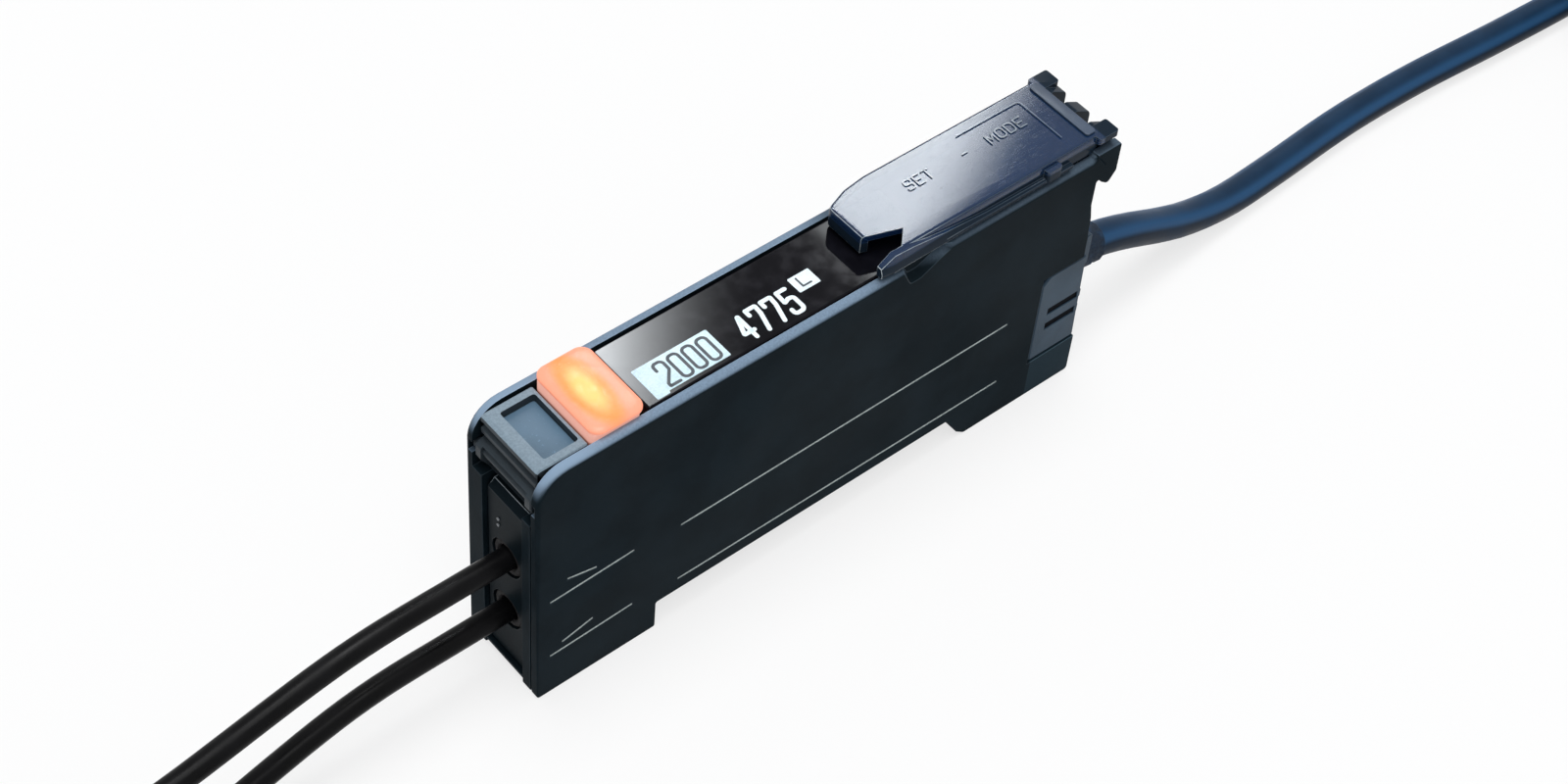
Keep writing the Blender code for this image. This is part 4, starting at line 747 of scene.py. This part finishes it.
def sensing_head(name, end, way, nickel):
    """Threaded head on a fibre's end: crimped sleeve, shoulder, thread, lens tip and nut."""
    x0 = end[0] + way * 0.3

    def place(w, a, b):
        return at(x0 + way * w, end[1] + a, end[2] + b)

    profile = [(1.5, 0), (1.5, 1.12), (0, 1.12), (0, 1.3), (0.12, 1.42), (0.3, 1.5)]
    for w in (1.1, 2.1, 3.1):
        profile += [(w - 0.35, 1.5), (w - 0.2, 1.36), (w + 0.2, 1.36), (w + 0.35, 1.5)]
    profile += [(4.1, 1.5), (4.2, 1.9), (5.1, 1.9), (5.2, 1.8)]
    pitch, start, finish = 0.5, 5.3, 15.9
    for k in range(int((finish - start) / pitch)):
        w = start + k * pitch
        profile += [(w + 0.06, 1.76), (w + 0.22, 1.99), (w + 0.3, 1.99), (w + 0.46, 1.76)]
    profile += [(16.1, 1.75), (16.85, 1.75), (17.0, 1.6), (17.0, 0.95), (16.6, 0.8), (16.6, 0)]
    head = built(f"sensing_head_{name}", nickel, add_turned, profile, place, 40, smooth=28)
    settle(head, "nickel", f"head_{name}")
    middle, thick, flats, sides = 0.62 * 17.0, 1.2, 3.5, 48
    rings = []
    for w, reach, six in ((-thick, 2.12, False), (-thick, 3.55, True), (-thick + 0.3, 4.05, True),
                          (thick - 0.3, 4.05, True), (thick, 3.55, True), (thick, 2.12, False)):
        ring = []
        for a in (2 * pi * k / sides for k in range(sides)):
            flat = flats / cos(a % (pi / 3) - pi / 6)
            r = min(flat, reach) if six else reach
            ring.append(place(middle + w, r * cos(a), r * sin(a)))
        rings.append(ring)
    nut = built(f"sensing_head_{name}_nut", nickel, add_loft, rings, True, smooth=25)
    settle(nut, "nickel", f"head_{name}_nut")
    return [head, nut]


class SENSOR_OT_lead(Operator):
    """Lay the lead from its boot into a hank, with its bared cores and its tie"""
    bl_idname = "sensor.lead"
    bl_label = "Lead"

    def execute(self, context):
        d = sizes().lead
        points, end = lead_points()
        # The last colour is the lead's painted highlight band.
        finish = jacket("lead_jacket_blue", tone("lead"), 0.34, (0.022, 0.072, 0.16))
        obj = cord_curve("power_lead", points, d, finish, 6)
        settle(obj, "lead_jacket", "lead", "lead_hank", "lead_tail")
        tinned = machined_metal("tinned_strands", (0.75, 0.72, 0.68), 0.3)
        cores = []
        for name, side, up, value in (("brown", -1, 0, (0.16, 0.055, 0.025)),
                                      ("blue", -1, 1, (0.02, 0.10, 0.42)),
                                      ("black", 1, 1, (0.012, 0.012, 0.013)),
                                      ("pink", 1, 0, (0.74, 0.26, 0.36))):
            cores += bared_core(name, side, up, end, value, tinned)
        tie("lead_tie", LEAD_HANK_X + LEAD_RUN / 2, 7.0,
            round_rect(-30.55, 1.75, 0.28, 18.12, 1.9, 40), bpy.data.materials["tie_rubber"],
            "lead_jacket")
        return {"FINISHED"}


def bared_core(name, side, up, end, value, tinned):
    """One insulated core out of the lead's end, with its stripped and tinned tip."""
    c = sizes().core / MM
    x, y, z = end[0] + 0.3, end[1], end[2]
    roof, run, skin_share = 18.3, 14.0, 0.72
    rest = roof + c / 2
    lift = 0.57 if up else -0.57
    stops = (((0.2, 0.6, 1.5), (0.6, 0.7, 0.7), (1, 0.8, 0.06)) if up else
             ((0.2, 1.2, 0.35), (0.6, 2.0, 0.12), (1, 2.4, 0.06)))
    route = smooth_route([(x - 0.5, y + side * 0.57 * c, z + lift * c),
                          (x, y + side * 0.57 * c, z + lift * c)]
                         + [(x + run * s, y + side * out * c, rest + rise * c)
                            for s, out, rise in stops], 0.4)
    cut = round(len(route) * skin_share)
    finish = jacket(f"core_skin_{name}", value, 0.4)
    skin = cord_curve(f"lead_core_{name}", route[:cut + 1], sizes().core, finish, 4)
    settle(skin, f"core_{name}", f"core_{name}")
    strands = cord_curve(f"lead_core_{name}_tip", route[cut - 2:], sizes().core * 0.62, tinned, 3)
    settle(strands, f"core_{name}")
    return [skin, strands]


# Stage
WHITE = (1, 1, 1, 1)


def floor_finish():
    """White to the eye, with part of its light from the lamps so that it keeps a shadow."""
    n = Nodes(bpy.data.materials.new("white_floor"), bare=True)
    matt = n.add("ShaderNodeBsdfDiffuse", {"Color": (0.88, 0.88, 0.88, 1)})["BSDF"]
    white = n.add("ShaderNodeEmission", {"Color": WHITE, "Strength": 1.0})["Emission"]
    seen = n.mixed(0.74, matt, white)
    n.add("ShaderNodeOutputMaterial", {"Surface": n.mixed(n.live_rays(), matt, seen)})
    return n.owner


def surround(scene, strength):
    """White to the eye, while the even light on the object stays low."""
    scene.world = bpy.data.worlds.new("white_surround")
    n = Nodes(scene.world, bare=True)
    even, white = [n.add("ShaderNodeBackground", {"Color": value, "Strength": power})["Background"]
                   for value, power in (((0.94, 0.97, 1.0, 1), strength), (WHITE, 1.0))]
    n.add("ShaderNodeOutputWorld", {"Surface": n.mixed(n.live_rays(), even, white)})


def card_finish(name, way, full, dark, strength, power):
    """A card that glows up to one place and fades out by another, measured along a way."""
    n = Nodes(bpy.data.materials.new(name), bare=True)
    way, full, dark = Vector((*way, 0)), at(*full, 0), at(*dark, 0)
    along = n.add("ShaderNodeVectorMath", {0: n.add("ShaderNodeTexCoord")["Object"], 1: way},
                  operation="DOT_PRODUCT")["Value"]
    fade = n.spread(along, way.dot(full), way.dot(dark), 1, 0,
                    "SMOOTHSTEP" if power == 1 else "LINEAR")
    glow = n.add("ShaderNodeEmission", {
        "Color": (0.93, 0.97, 1.0, 1),
        "Strength": n.times(n.maths("POWER", fade, power), strength)})["Emission"]
    clear = n.add("ShaderNodeBsdfTransparent")["BSDF"]
    both = n.add("ShaderNodeAddShader", {0: glow, 1: clear})["Shader"]
    n.add("ShaderNodeOutputMaterial", {"Surface": both})
    return n.owner


def stage_sheet(name, x0, x1, y0, y1, z, finish):
    """A flat sheet that belongs to the stage."""
    bm = bmesh.new()
    bm.faces.new([bm.verts.new(at(x, y, z)) for x, y in ((x0, y0), (x1, y0), (x1, y1), (x0, y1))])
    obj = piece(name, bm, finish)
    return obj


CAMERA_PLACE = (-81.7212, -115.3847, 204.6646)
CAMERA_RIGHT = Vector((0.76607727, -0.63917305, 0.06770098))
CAMERA_DOWN = Vector((-0.45492646, -0.61360885, -0.64538833))
CAMERA_AHEAD = Vector((0.45405675, 0.46361836, -0.76084853))
FLOOR_REACH, FLOOR_Z, CARD_Z = 1600.0, -0.05, 282.8

# Each card: name, limits on X and Y, way of its fade, full and dark places, strength, power
CARDS = (("cover", (208, 290, 112, 225), (1, -1.73), (226, 168), (266, 168), 23.0, 1),
         ("window", (140, 196, 150, 190), (1, -0.75), (146, 178), (193, 178), 150.0, 2.8))


class SENSOR_OT_stage(Operator):
    """Set the camera, the lamps, the white surroundings, the floor and the gloss cards"""
    bl_idname = "sensor.stage"
    bl_label = "Stage"

    def execute(self, context):
        scene = context.scene
        stage = scene.sensor_stage
        camera = linked("sensor_camera", configure(
            bpy.data.cameras.new("sensor_camera"), lens=stage.lens, sensor_width=36.0,
            sensor_fit="HORIZONTAL", clip_start=0.01))
        turn = Matrix((CAMERA_RIGHT, -CAMERA_DOWN, -CAMERA_AHEAD)).transposed()
        camera.matrix_world = Matrix.Translation(at(*CAMERA_PLACE)) @ turn.to_4x4()
        scene.camera = camera
        scene.view_settings.view_transform = "Standard"
        for name, strength, angle, source in (("key", stage.key, 40.0, (-0.16, -0.2, 1.0)),
                                              ("back", stage.back, 24.0, (0.08, 0.1, 1.0))):
            lamp = linked(f"{name}_lamp", configure(bpy.data.lights.new(f"{name}_lamp", "SUN"),
                                                    energy=strength, angle=radians(angle)))
            lamp.rotation_euler = Vector(source).to_track_quat("Z", "Y").to_euler()
        surround(scene, stage.sky)
        stage_sheet("floor", *(-FLOOR_REACH, FLOOR_REACH) * 2, FLOOR_Z, floor_finish())
        for name, limits, *fade in CARDS:
            card = stage_sheet(f"{name}_card", *limits, CARD_Z, card_finish(f"{name}_glow", *fade))
            configure(card, visible_camera=False, visible_diffuse=False, visible_shadow=False,
                      visible_transmission=False)
        return {"FINISHED"}


# Print: each character's lines through corners (u, v, radius) of a unit box
ROUND = ((0, 0, 0.42), (1, 0, 0.42), (1, 1, 0.42), (0, 1, 0.42))
CLOSED = "0OD"
GLYPHS = {
    "0": (ROUND,),
    "2": (((0, 0.72, 0), (0, 1, 0.4), (1, 1, 0.4), (1, 0.58, 0.3), (0, 0.12, 0.1), (0, 0, 0.02),
           (1, 0, 0)),),
    "4": (((1, 0.27, 0), (0, 0.27, 0.05), (0.7, 1, 0.03), (0.7, 0, 0)),),
    "5": (((0.95, 1, 0), (0.08, 1, 0.03), (0.03, 0.54, 0.05), (0.5, 0.62, 0.2), (1, 0.6, 0.34),
           (1, 0, 0.4), (0, 0, 0.4), (0, 0.2, 0)),),
    "7": (((0, 0.78, 0), (0, 1, 0.03), (1, 1, 0.1), (0.92, 0.66, 0.2), (0.42, 0, 0)),),
    "L": (((0, 1, 0), (0, 0, 0.04), (1, 0, 0)),),
    "S": (((1, 0.8, 0), (1, 1, 0.3), (0, 1, 0.3), (0, 0.52, 0.26), (1, 0.5, 0.26), (1, 0, 0.3),
           (0, 0, 0.3), (0, 0.2, 0)),),
    "E": (((1, 1, 0), (0, 1, 0.03), (0, 0, 0.03), (1, 0, 0)), ((0, 0.5, 0), (0.85, 0.5, 0))),
    "T": (((0, 1, 0), (1, 1, 0)), ((0.5, 1, 0), (0.5, 0, 0))),
    "M": (((0, 0, 0), (0, 1, 0.02), (0.5, 0.3, 0.02), (1, 1, 0.02), (1, 0, 0)),),
    "O": (ROUND,),
    "D": (((0, 0, 0.02), (1, 0, 0.42), (1, 1, 0.42), (0, 1, 0.02)),),
    "+": (((0, 0.5, 0), (1, 0.5, 0)), ((0.5, 0, 0), (0.5, 1, 0))),
    "-": (((0, 0.5, 0), (1, 0.5, 0)),),
}


def add_stroke(bm, closed, line, width, z):
    """A flat ribbon of one width along a line, round at the ends of an open one."""
    n, cap_steps = len(line), 6
    sides = []
    for i, p in enumerate(line):
        before = line[i - 1] if i or closed else None
        after = line[(i + 1) % n] if i + 1 < n or closed else None
        a = (p - before).normalized() if before is not None else (after - p).normalized()
        b = (after - p).normalized() if after is not None else a
        side = Vector((-a.y - b.y, a.x + b.x)).normalized()
        stretch = 1 / max(0.5, side.dot(Vector((-a.y, a.x))))
        sides.append(side * width / 2 * stretch)
    left = [bm.verts.new(at(p.x + s.x, p.y + s.y, z)) for p, s in zip(line, sides)]
    right = [bm.verts.new(at(p.x - s.x, p.y - s.y, z)) for p, s in zip(line, sides)]
    for i in range(n if closed else n - 1):
        j = (i + 1) % n
        bm.faces.new((left[i], right[i], right[j], left[j]))
    if closed:
        return
    for i, way in ((0, 1), (-1, -1)):
        cap = [line[i] + turned(sides[i], way * pi * k / cap_steps)
               for k in range(1, cap_steps)]
        bm.faces.new([left[i]] + [bm.verts.new(at(q.x, q.y, z)) for q in cap] + [right[i]])


def raised(name, bm, finish, thick, slot, body):
    """Flat strokes as a thin relief that rides on a body."""
    obj = piece(name, bm, finish)
    obj.data.shade_flat()
    configure(obj.modifiers.new("relief", "SOLIDIFY"), thickness=thick, offset=1.0)
    settle(obj, slot, body=body)


def print_text(name, text, x, y, wide, tall, gap, width, z, finish, slot="display_glass",
               body="housing"):
    """Characters from their own strokes, as thin print on a level surface."""
    bm = bmesh.new()
    small = min(wide, tall)
    for i, letter in enumerate(text):
        left = x + i * (wide + gap)
        for stroke in GLYPHS[letter]:
            corners = [(left + u * wide, y + v * tall, r * small) for u, v, r in stroke]
            closed = letter in CLOSED
            line = fillet(corners, 32) if closed else open_fillet(corners)
            add_stroke(bm, closed, line, width, z)
    raised(name, bm, finish, sizes().print_height, slot, body)


# Housing
SCORES = {"front_high": ((1.4, 13.3), (10.4, 13.6)), "front_low": ((1.4, 5.4), (10.4, 5.7)),
          "front_high_mark": ((3.2, 15.3), (6.3, 14.5)), "front_low_mark": ((2.7, 6.5), (6.0, 7.3)),
          "long_high": ((15.6, 13.1), (54.6, 13.4)), "long_low": ((15.6, 5.2), (54.6, 5.2))}


def add_bead(bm, a, b):
    """A rounded bead that lies in a groove of the near side, from place to place in X, Z."""
    deep, proud, half, thin_end, crown = -4.87, -4.99, 0.105, 0.45, 0.6
    a, b = Vector(a), Vector(b)
    way = (b - a).normalized()
    side = Vector((-way.y, way.x)) * half
    steps = max(4, round((b - a).length / 2))
    rings = []
    for k in range(steps + 1):
        p = a.lerp(b, k / steps)
        s = side * (thin_end if k in (0, steps) else 1.0)
        rings.append([at(p.x + s.x * w, y, p.y + s.y * w)
                      for w, y in ((-1, deep), (-crown, proud), (crown, proud), (1, deep))])
    add_loft(bm, rings)


class SENSOR_OT_housing(Operator):
    """Finish both housing halves and lay pale beads in the score lines on the near side, a painted
    highlight on their lit lips
    """
    bl_idname = "sensor.housing"
    bl_label = "Housing"

    def execute(self, context):
        # Painted highlight on the up-facing rims and the front's curve, from the rims colour.
        shell = moulded_plastic("housing_moulding", tone("housing"), 0.5, 0.015,
                                lit_top=tone("rims"))
        # Painted edge highlight: the rolled edges lighter than the housing.
        arris = moulded_plastic("housing_arris", tone("housing", 2.4), 0.42, 0.12,
                                lit_top=tone("rims", 1.5))
        dressed("casing", shell, "housing_plastic", 0.03, arris=arris)
        dressed("side_cover", shell, "housing_plastic", arris=arris)
        # Painted highlight: pale beads in the grooves, where their lower lips catch light.
        score = ink("pale_score", (0.58, 0.64, 0.62), 0.6)
        for name, ends in SCORES.items():
            settle(built(f"score_{name}", score, add_bead, *ends), "housing_plastic")
        return {"FINISHED"}


class SENSOR_OT_fibre_bay(Operator):
    """Finish the fibre block, its seals and the clamp plate, and add the two pin marks"""
    bl_idname = "sensor.fibre_bay"
    bl_label = "Fibre bay"

    def execute(self, context):
        top = extent("fibre_block")[1][2]
        block = moulded_plastic("block_moulding", tone("housing", 0.7), 0.42, 0.02)
        # Painted highlight: the block's rolled edges are dark, pale only on the top chamfer that
        # faces up.
        arris = moulded_plastic("block_arris", (0.02, 0.027, 0.032), 0.4, 0.1,
                                lit_top=(0.42, 0.48, 0.52), levels=(top - 0.5, top - 0.3))
        dressed("fibre_block", block, "housing_plastic", 0.04, arris=arris)
        rubber = soft_rubber("seal_rubber_matt", (0.007, 0.006, 0.007))
        for name in ("fibre_seal_lower", "fibre_seal_upper"):
            dressed(name, rubber, "seal_rubber")
        clamp = moulded_plastic("clamp_moulding", (0.012, 0.014, 0.018), 0.4, 0.15)
        dressed("clamp_plate", clamp, "dark_plastic", 0.06, body="clamp")
        pin = ink("pin_pale", (0.22, 0.24, 0.26), 0.4)
        profile = [(0.45, 0), (0.45, 0.13), (0.3, 0.17), (0.28, 0.11), (0.28, 0)]
        for i, z in enumerate((19.6, 18.8)):
            mark = built(f"block_pin_{i + 1}", pin, add_turned, profile,
                         lambda w, a, b: at(w, 1.0 + a, z + b), 24)
            settle(mark, "housing_plastic")
        return {"FINISHED"}


class SENSOR_OT_lever(Operator):
    """Finish the lock lever and line its pocket floor"""
    bl_idname = "sensor.lever"
    bl_label = "Lock lever"

    def execute(self, context):
        top = extent("lock_lever")[1][2]
        levels = (top - 0.7, top - 0.35)
        # Lit and shaded copies of the lever colour: painted shade on faces that do not look up, the
        # full colour as a painted highlight on its top.
        finish = moulded_plastic("lever_moulding", tone("lever", 0.16), 0.42, 0.1, depth=0.01,
                                 lit_top=tone("lever"), levels=levels)
        # Painted edge highlight: lighter rolled edges, palest on the top.
        arris = moulded_plastic("lever_arris", tone("lever", 0.62), 0.38, 0.3, depth=0.01,
                                lit_top=tone("lever", 1.8), levels=levels)
        lever = dressed("lock_lever", finish, "lever_plastic", 0.08, arris=arris, body="lever")
        lever.modifiers["rolled edges"].use_clamp_overlap = True
        floor = moulded_plastic("lever_pocket_texture", (0.078, 0.14, 0.205), 0.5, 0.3, 3600.0,
                                0.02)
        pocket = built("lever_pocket_floor", floor, add_slab,
                       round_rect(2.14, 5.62, -3.02, 3.02, 0.25), top - 1.18, top - 0.8, 0.05)
        settle(pocket, "lever_plastic", body="lever")
        return {"FINISHED"}


class SENSOR_OT_lens(Operator):
    """Model the lit lens over both rims and finish its lamp"""
    bl_idname = "sensor.lens"
    bl_label = "Lit lens"

    def execute(self, context):
        (x0, _, bottom), (x1, half, top) = extent("indicator_lens")
        x0, x1, base = x0 - 0.12, x1 - 0.22, RIM_Z + 0.2
        rings = []
        for rise, pull in self.dome():
            r = max(0.3, 1.15 - pull * 0.3)
            line = round_rect(x0 + pull, x1 - pull, pull * 0.9 - half, half - pull * 0.9, r, 64)
            rings.append([at(p.x, p.y, base + (top - base) * rise) for p in line])
        bm = bmesh.new()
        add_loft(bm, rings)
        stem = round_rect(x0 + 0.04, x1 - 0.3, -3.9, 3.9, 0.5)
        add_slab(bm, stem, bottom, base + 0.02, 0.1)
        lens = piece("indicator_lens_cap", bm, lit_lens("lit_lens_amber"), 60)
        settle(lens, "lens_plastic", "indicator_lens")
        dressed("indicator_led", lit_print("lamp_die", (1.0, 0.55, 0.25), 0.9), "led_clear")
        return {"FINISHED"}

    def dome(self):
        """(rise, pull) of the cap's rings: a soft foot, round shoulders and a low crown."""
        rings = [(0.0, 0.12), (0.06, 0.03), (0.12, 0.0), (0.42, 0.0)]
        for turn in (pi / 2 * k / 8 for k in range(1, 9)):
            rings.append((0.42 + 0.5 * sin(turn), 0.75 * (1 - cos(turn))))
        return rings + [(0.955, 1.15), (0.98, 1.6), (0.995, 2.1), (1.0, 2.5)]


class SENSOR_OT_display(Operator):
    """Finish the display window and print its lit field, its digits and its flag"""
    bl_idname = "sensor.display"
    bl_label = "Display"

    def execute(self, context):
        dressed("display_window", smoked_glass("window_smoked", tone("window")), "window_plastic",
                0.1)
        field = lit_print("lcd_field", tone("field"), 0.8)
        digits = lit_print("lcd_digits", tone("digits"), 0.85)
        dark = ink("lcd_dark", (0.012, 0.022, 0.035), 0.35)
        z, plate, row = GLASS_Z, 0.03, -3.05
        notched = fillet([(13.4, 0.15, 0.15), (13.4, -3.6, 0.12), (14.7, -3.6, 0.1),
                          (14.8, -3.35, 0.1), (21.4, -3.35, 0.15), (21.4, 0.15, 0.15)])
        for name, outline, finish in (
                ("display_field", notched, field),
                ("display_flag", round_rect(30.6, 32.95, -1.42, 0.42, 0.12), digits)):
            settle(built(name, finish, add_slab, outline, z, z + plate, 0.01), "display_glass")
        print_text("digits_set", "2000", 15.2, row, 1.02, 2.7, 0.5, 0.3, z + 0.032, dark)
        print_text("digits_now", "4775", 23.72, row, 1.06, 2.8, 0.62, 0.42, z + 0.004, digits)
        print_text("flag_letter", "L", 31.3, -0.98, 0.9, 1.05, 0.0, 0.2, z + 0.032, dark)
        dressed("display_module", smoked_glass("display_module_glass", (0.25, 0.34, 0.38)),
                "display_glass", 0.06)
        dressed("light_guide", clear_plastic("light_guide_clear", (0.9, 0.93, 0.95)),
                "clear_plastic", 0.06)
        return {"FINISHED"}


class SENSOR_OT_keys(Operator):
    """Finish the key panel and its four keys, and print their signs"""
    bl_idname = "sensor.keys"
    bl_label = "Keys"

    def execute(self, context):
        slot, gap, sign = "slate_plastic", 0.3, 1.1
        panel = moulded_plastic("key_panel_moulding", tone("slate", 0.5), 0.4, 0.35)
        caps = moulded_plastic("key_moulding", tone("slate", 0.9), 0.38, 0.4)
        dressed("key_panel", panel, slot, 0.1)
        pale = ink("key_print", (0.38, 0.44, 0.50), 0.5)
        metal = machined_metal("switch_case_metal", (0.62, 0.62, 0.60), 0.32)
        for name, text, wide, tall in (("set", "SET", 0.62, 1.15), ("plus", "+", 0.9, 1.0),
                                       ("minus", "-", 0.9, 1.0), ("mode", "MODE", 0.62, 1.15)):
            body = f"{name}_key"
            dressed(f"key_{name}", caps, slot, 0.04, body=body)
            dressed(f"switch_{name}", metal, "switch_metal")
            low, high = extent(f"key_{name}")
            x, y = (low[0] + high[0]) / 2, (low[1] + high[1]) / 2
            reach = len(text) * wide + (len(text) - 1) * gap
            print_text(f"label_{name}", text, x - reach / 2, 1.75, wide, tall, gap, 0.16,
                       GLASS_Z + 0.002, pale, slot)
            if text in "+-":
                print_text(f"key_sign_{name}", text, x - sign / 2, y - sign / 2, sign, sign, 0.0,
                           0.2, high[2] + 0.002, pale, slot, body)
        return {"FINISHED"}


class SENSOR_OT_cover(Operator):
    """Finish the clear hinged cover with its rear bar, rib and print, and its pin"""
    bl_idname = "sensor.cover"
    bl_label = "Clear cover"

    def execute(self, context):
        slot, body = "clear_plastic", "cover"
        top, rear = extent("cover")[1][2], extent("casing")[1][0] - 4.0
        # The cover's walls below its top plate and its rear take painted shade.
        clear = clear_plastic("cover_smoked_clear", tone("cover"), 0.62, top - 1.1, rear + 1.2)
        dressed("cover", clear, slot, 0.04, 40, cover_edge(), body)
        bar = moulded_plastic("cover_bar_moulding", (0.045, 0.066, 0.105), 0.35, 0.2)
        outline = round_rect(rear + 0.1, rear + 1.25, -3.9, 3.9, 0.3)
        settle(built("cover_rear_bar", bar, add_slab, outline, top - 0.1, top + 0.12, 0.06), slot,
               body=body)
        bm = bmesh.new()
        line = open_fillet([(rear - 9.5, 3.1, 0), (rear - 1.9, 3.1, 0.4), (rear - 1.9, -2.6, 0)])
        add_stroke(bm, False, line, 0.12, top + 0.002)
        rib = ink("cover_rib_moulding", (0.06, 0.10, 0.17), 0.1, 0.36)
        raised("cover_top_rib", bm, rib, 0.05 * MM, slot, body)
        pale = ink("cover_print", (0.10, 0.14, 0.19), 0.1, 0.36)
        for name, text, x, wide in (("set", "SET", 44.6, 0.75), ("minus", "-", 51.3, 0.6),
                                    ("mode", "MODE", 54.4, 0.8)):
            print_text(f"cover_print_{name}", text, x, 0.5, wide, 1.15, 0.35, 0.15, top + 0.002,
                       pale, slot, body)
        steel = machined_metal("pin_ground_steel", (0.62, 0.62, 0.64), 0.26)
        dressed("hinge_pin", steel, "pin_steel", 0.0)
        return {"FINISHED"}


class SENSOR_OT_plug(Operator):
    """Finish the plug with its slots, and its ribbed boot"""
    bl_idname = "sensor.plug"
    bl_label = "Plug"

    def execute(self, context):
        slot = "slate_plastic"
        slate = moulded_plastic("plug_moulding", tone("slate"), 0.45, 0.12)
        dressed("plug", slate, slot, 0.02)
        (_, _, base), (rear, _, _) = extent("plug")
        rear -= 0.2
        linings, ends = bmesh.new(), bmesh.new()
        for rise in (3.6, 5.7):
            zs = (base + rise, base + rise + 0.95)
            for side in (-1, 1):
                add_box(linings, (rear - 4.38, rear - 0.4), (side * 4.76, side * 4.4), zs)
                add_box(ends, (rear - 0.42, rear - 0.05), (side * 4.88, side * 4.4), zs)
        # Painted shade: near-black linings inside the slots, where shade falls.
        dark = moulded_plastic("slot_moulding", (0.004, 0.005, 0.007), 0.6, 0.02)
        settle(piece("plug_slot_linings", linings, dark), slot)
        settle(piece("plug_slot_ends", ends, slate), slot)
        boot = soft_rubber("boot_rubber", tone("lead", 1.1))
        dressed("strain_relief", boot, "lead_jacket", 0.08, 60)
        return {"FINISHED"}


class SENSOR_OT_inner(Operator):
    """Finish the boards, chip, header, emitter and receiver"""
    bl_idname = "sensor.inner"
    bl_label = "Inner parts"

    def execute(self, context):
        board = circuit_board("board_green_mask")
        chip = moulded_plastic("chip_epoxy", (0.014, 0.014, 0.015), 0.55, 0.4, 3800.0, 0.01)
        die = lit_print("emitter_resin", (0.8, 0.06, 0.03), 0.55)
        for slot, finish, nodes in (
                ("board_green", board, ("upper_board", "main_board")),
                ("chip_black", chip, ("processor_chip", "power_header", "receiver_diode")),
                ("led_clear", die, ("emitter_led",))):
            for node in nodes:
                dressed(node, finish, slot)
        return {"FINISHED"}


OPERATORS = (SENSOR_OT_stage, SENSOR_OT_fibres, SENSOR_OT_lead, SENSOR_OT_housing,
             SENSOR_OT_fibre_bay, SENSOR_OT_lever, SENSOR_OT_lens, SENSOR_OT_display,
             SENSOR_OT_keys, SENSOR_OT_cover, SENSOR_OT_plug, SENSOR_OT_inner)
GROUPS = {"sensor_colours": SensorColours, "sensor_sizes": SensorSizes,
          "sensor_stage": SensorStage}


class SENSOR_PT_looks(Panel):
    """Sizes, colours and steps of the fibre optic sensor's looks"""
    bl_idname = "SENSOR_PT_looks"
    bl_label = "Fibre Sensor"
    bl_space_type = "VIEW_3D"
    bl_region_type = "UI"
    bl_category = "Fibre Sensor"

    def draw(self, context):
        for owner, group in GROUPS.items():
            box = self.layout.box()
            for name in group.__annotations__:
                box.prop(getattr(context.scene, owner), name)
        for operator in OPERATORS:
            self.layout.operator(operator.bl_idname)


CLASSES = (*GROUPS.values(), *OPERATORS, SENSOR_PT_looks)


def register():
    for cls in CLASSES:
        bpy.utils.register_class(cls)
    for name, group in GROUPS.items():
        setattr(bpy.types.Scene, name, PointerProperty(type=group))


def unregister():
    for name in GROUPS:
        delattr(bpy.types.Scene, name)
    for cls in reversed(CLASSES):
        bpy.utils.unregister_class(cls)


def main():
    register()
    for step in ("stage", "fibres", "lead", "housing", "fibre_bay", "lever", "lens", "display",
                 "keys", "cover", "plug", "inner"):
        getattr(bpy.ops.sensor, step)()


if __name__ == "__main__":
    main()
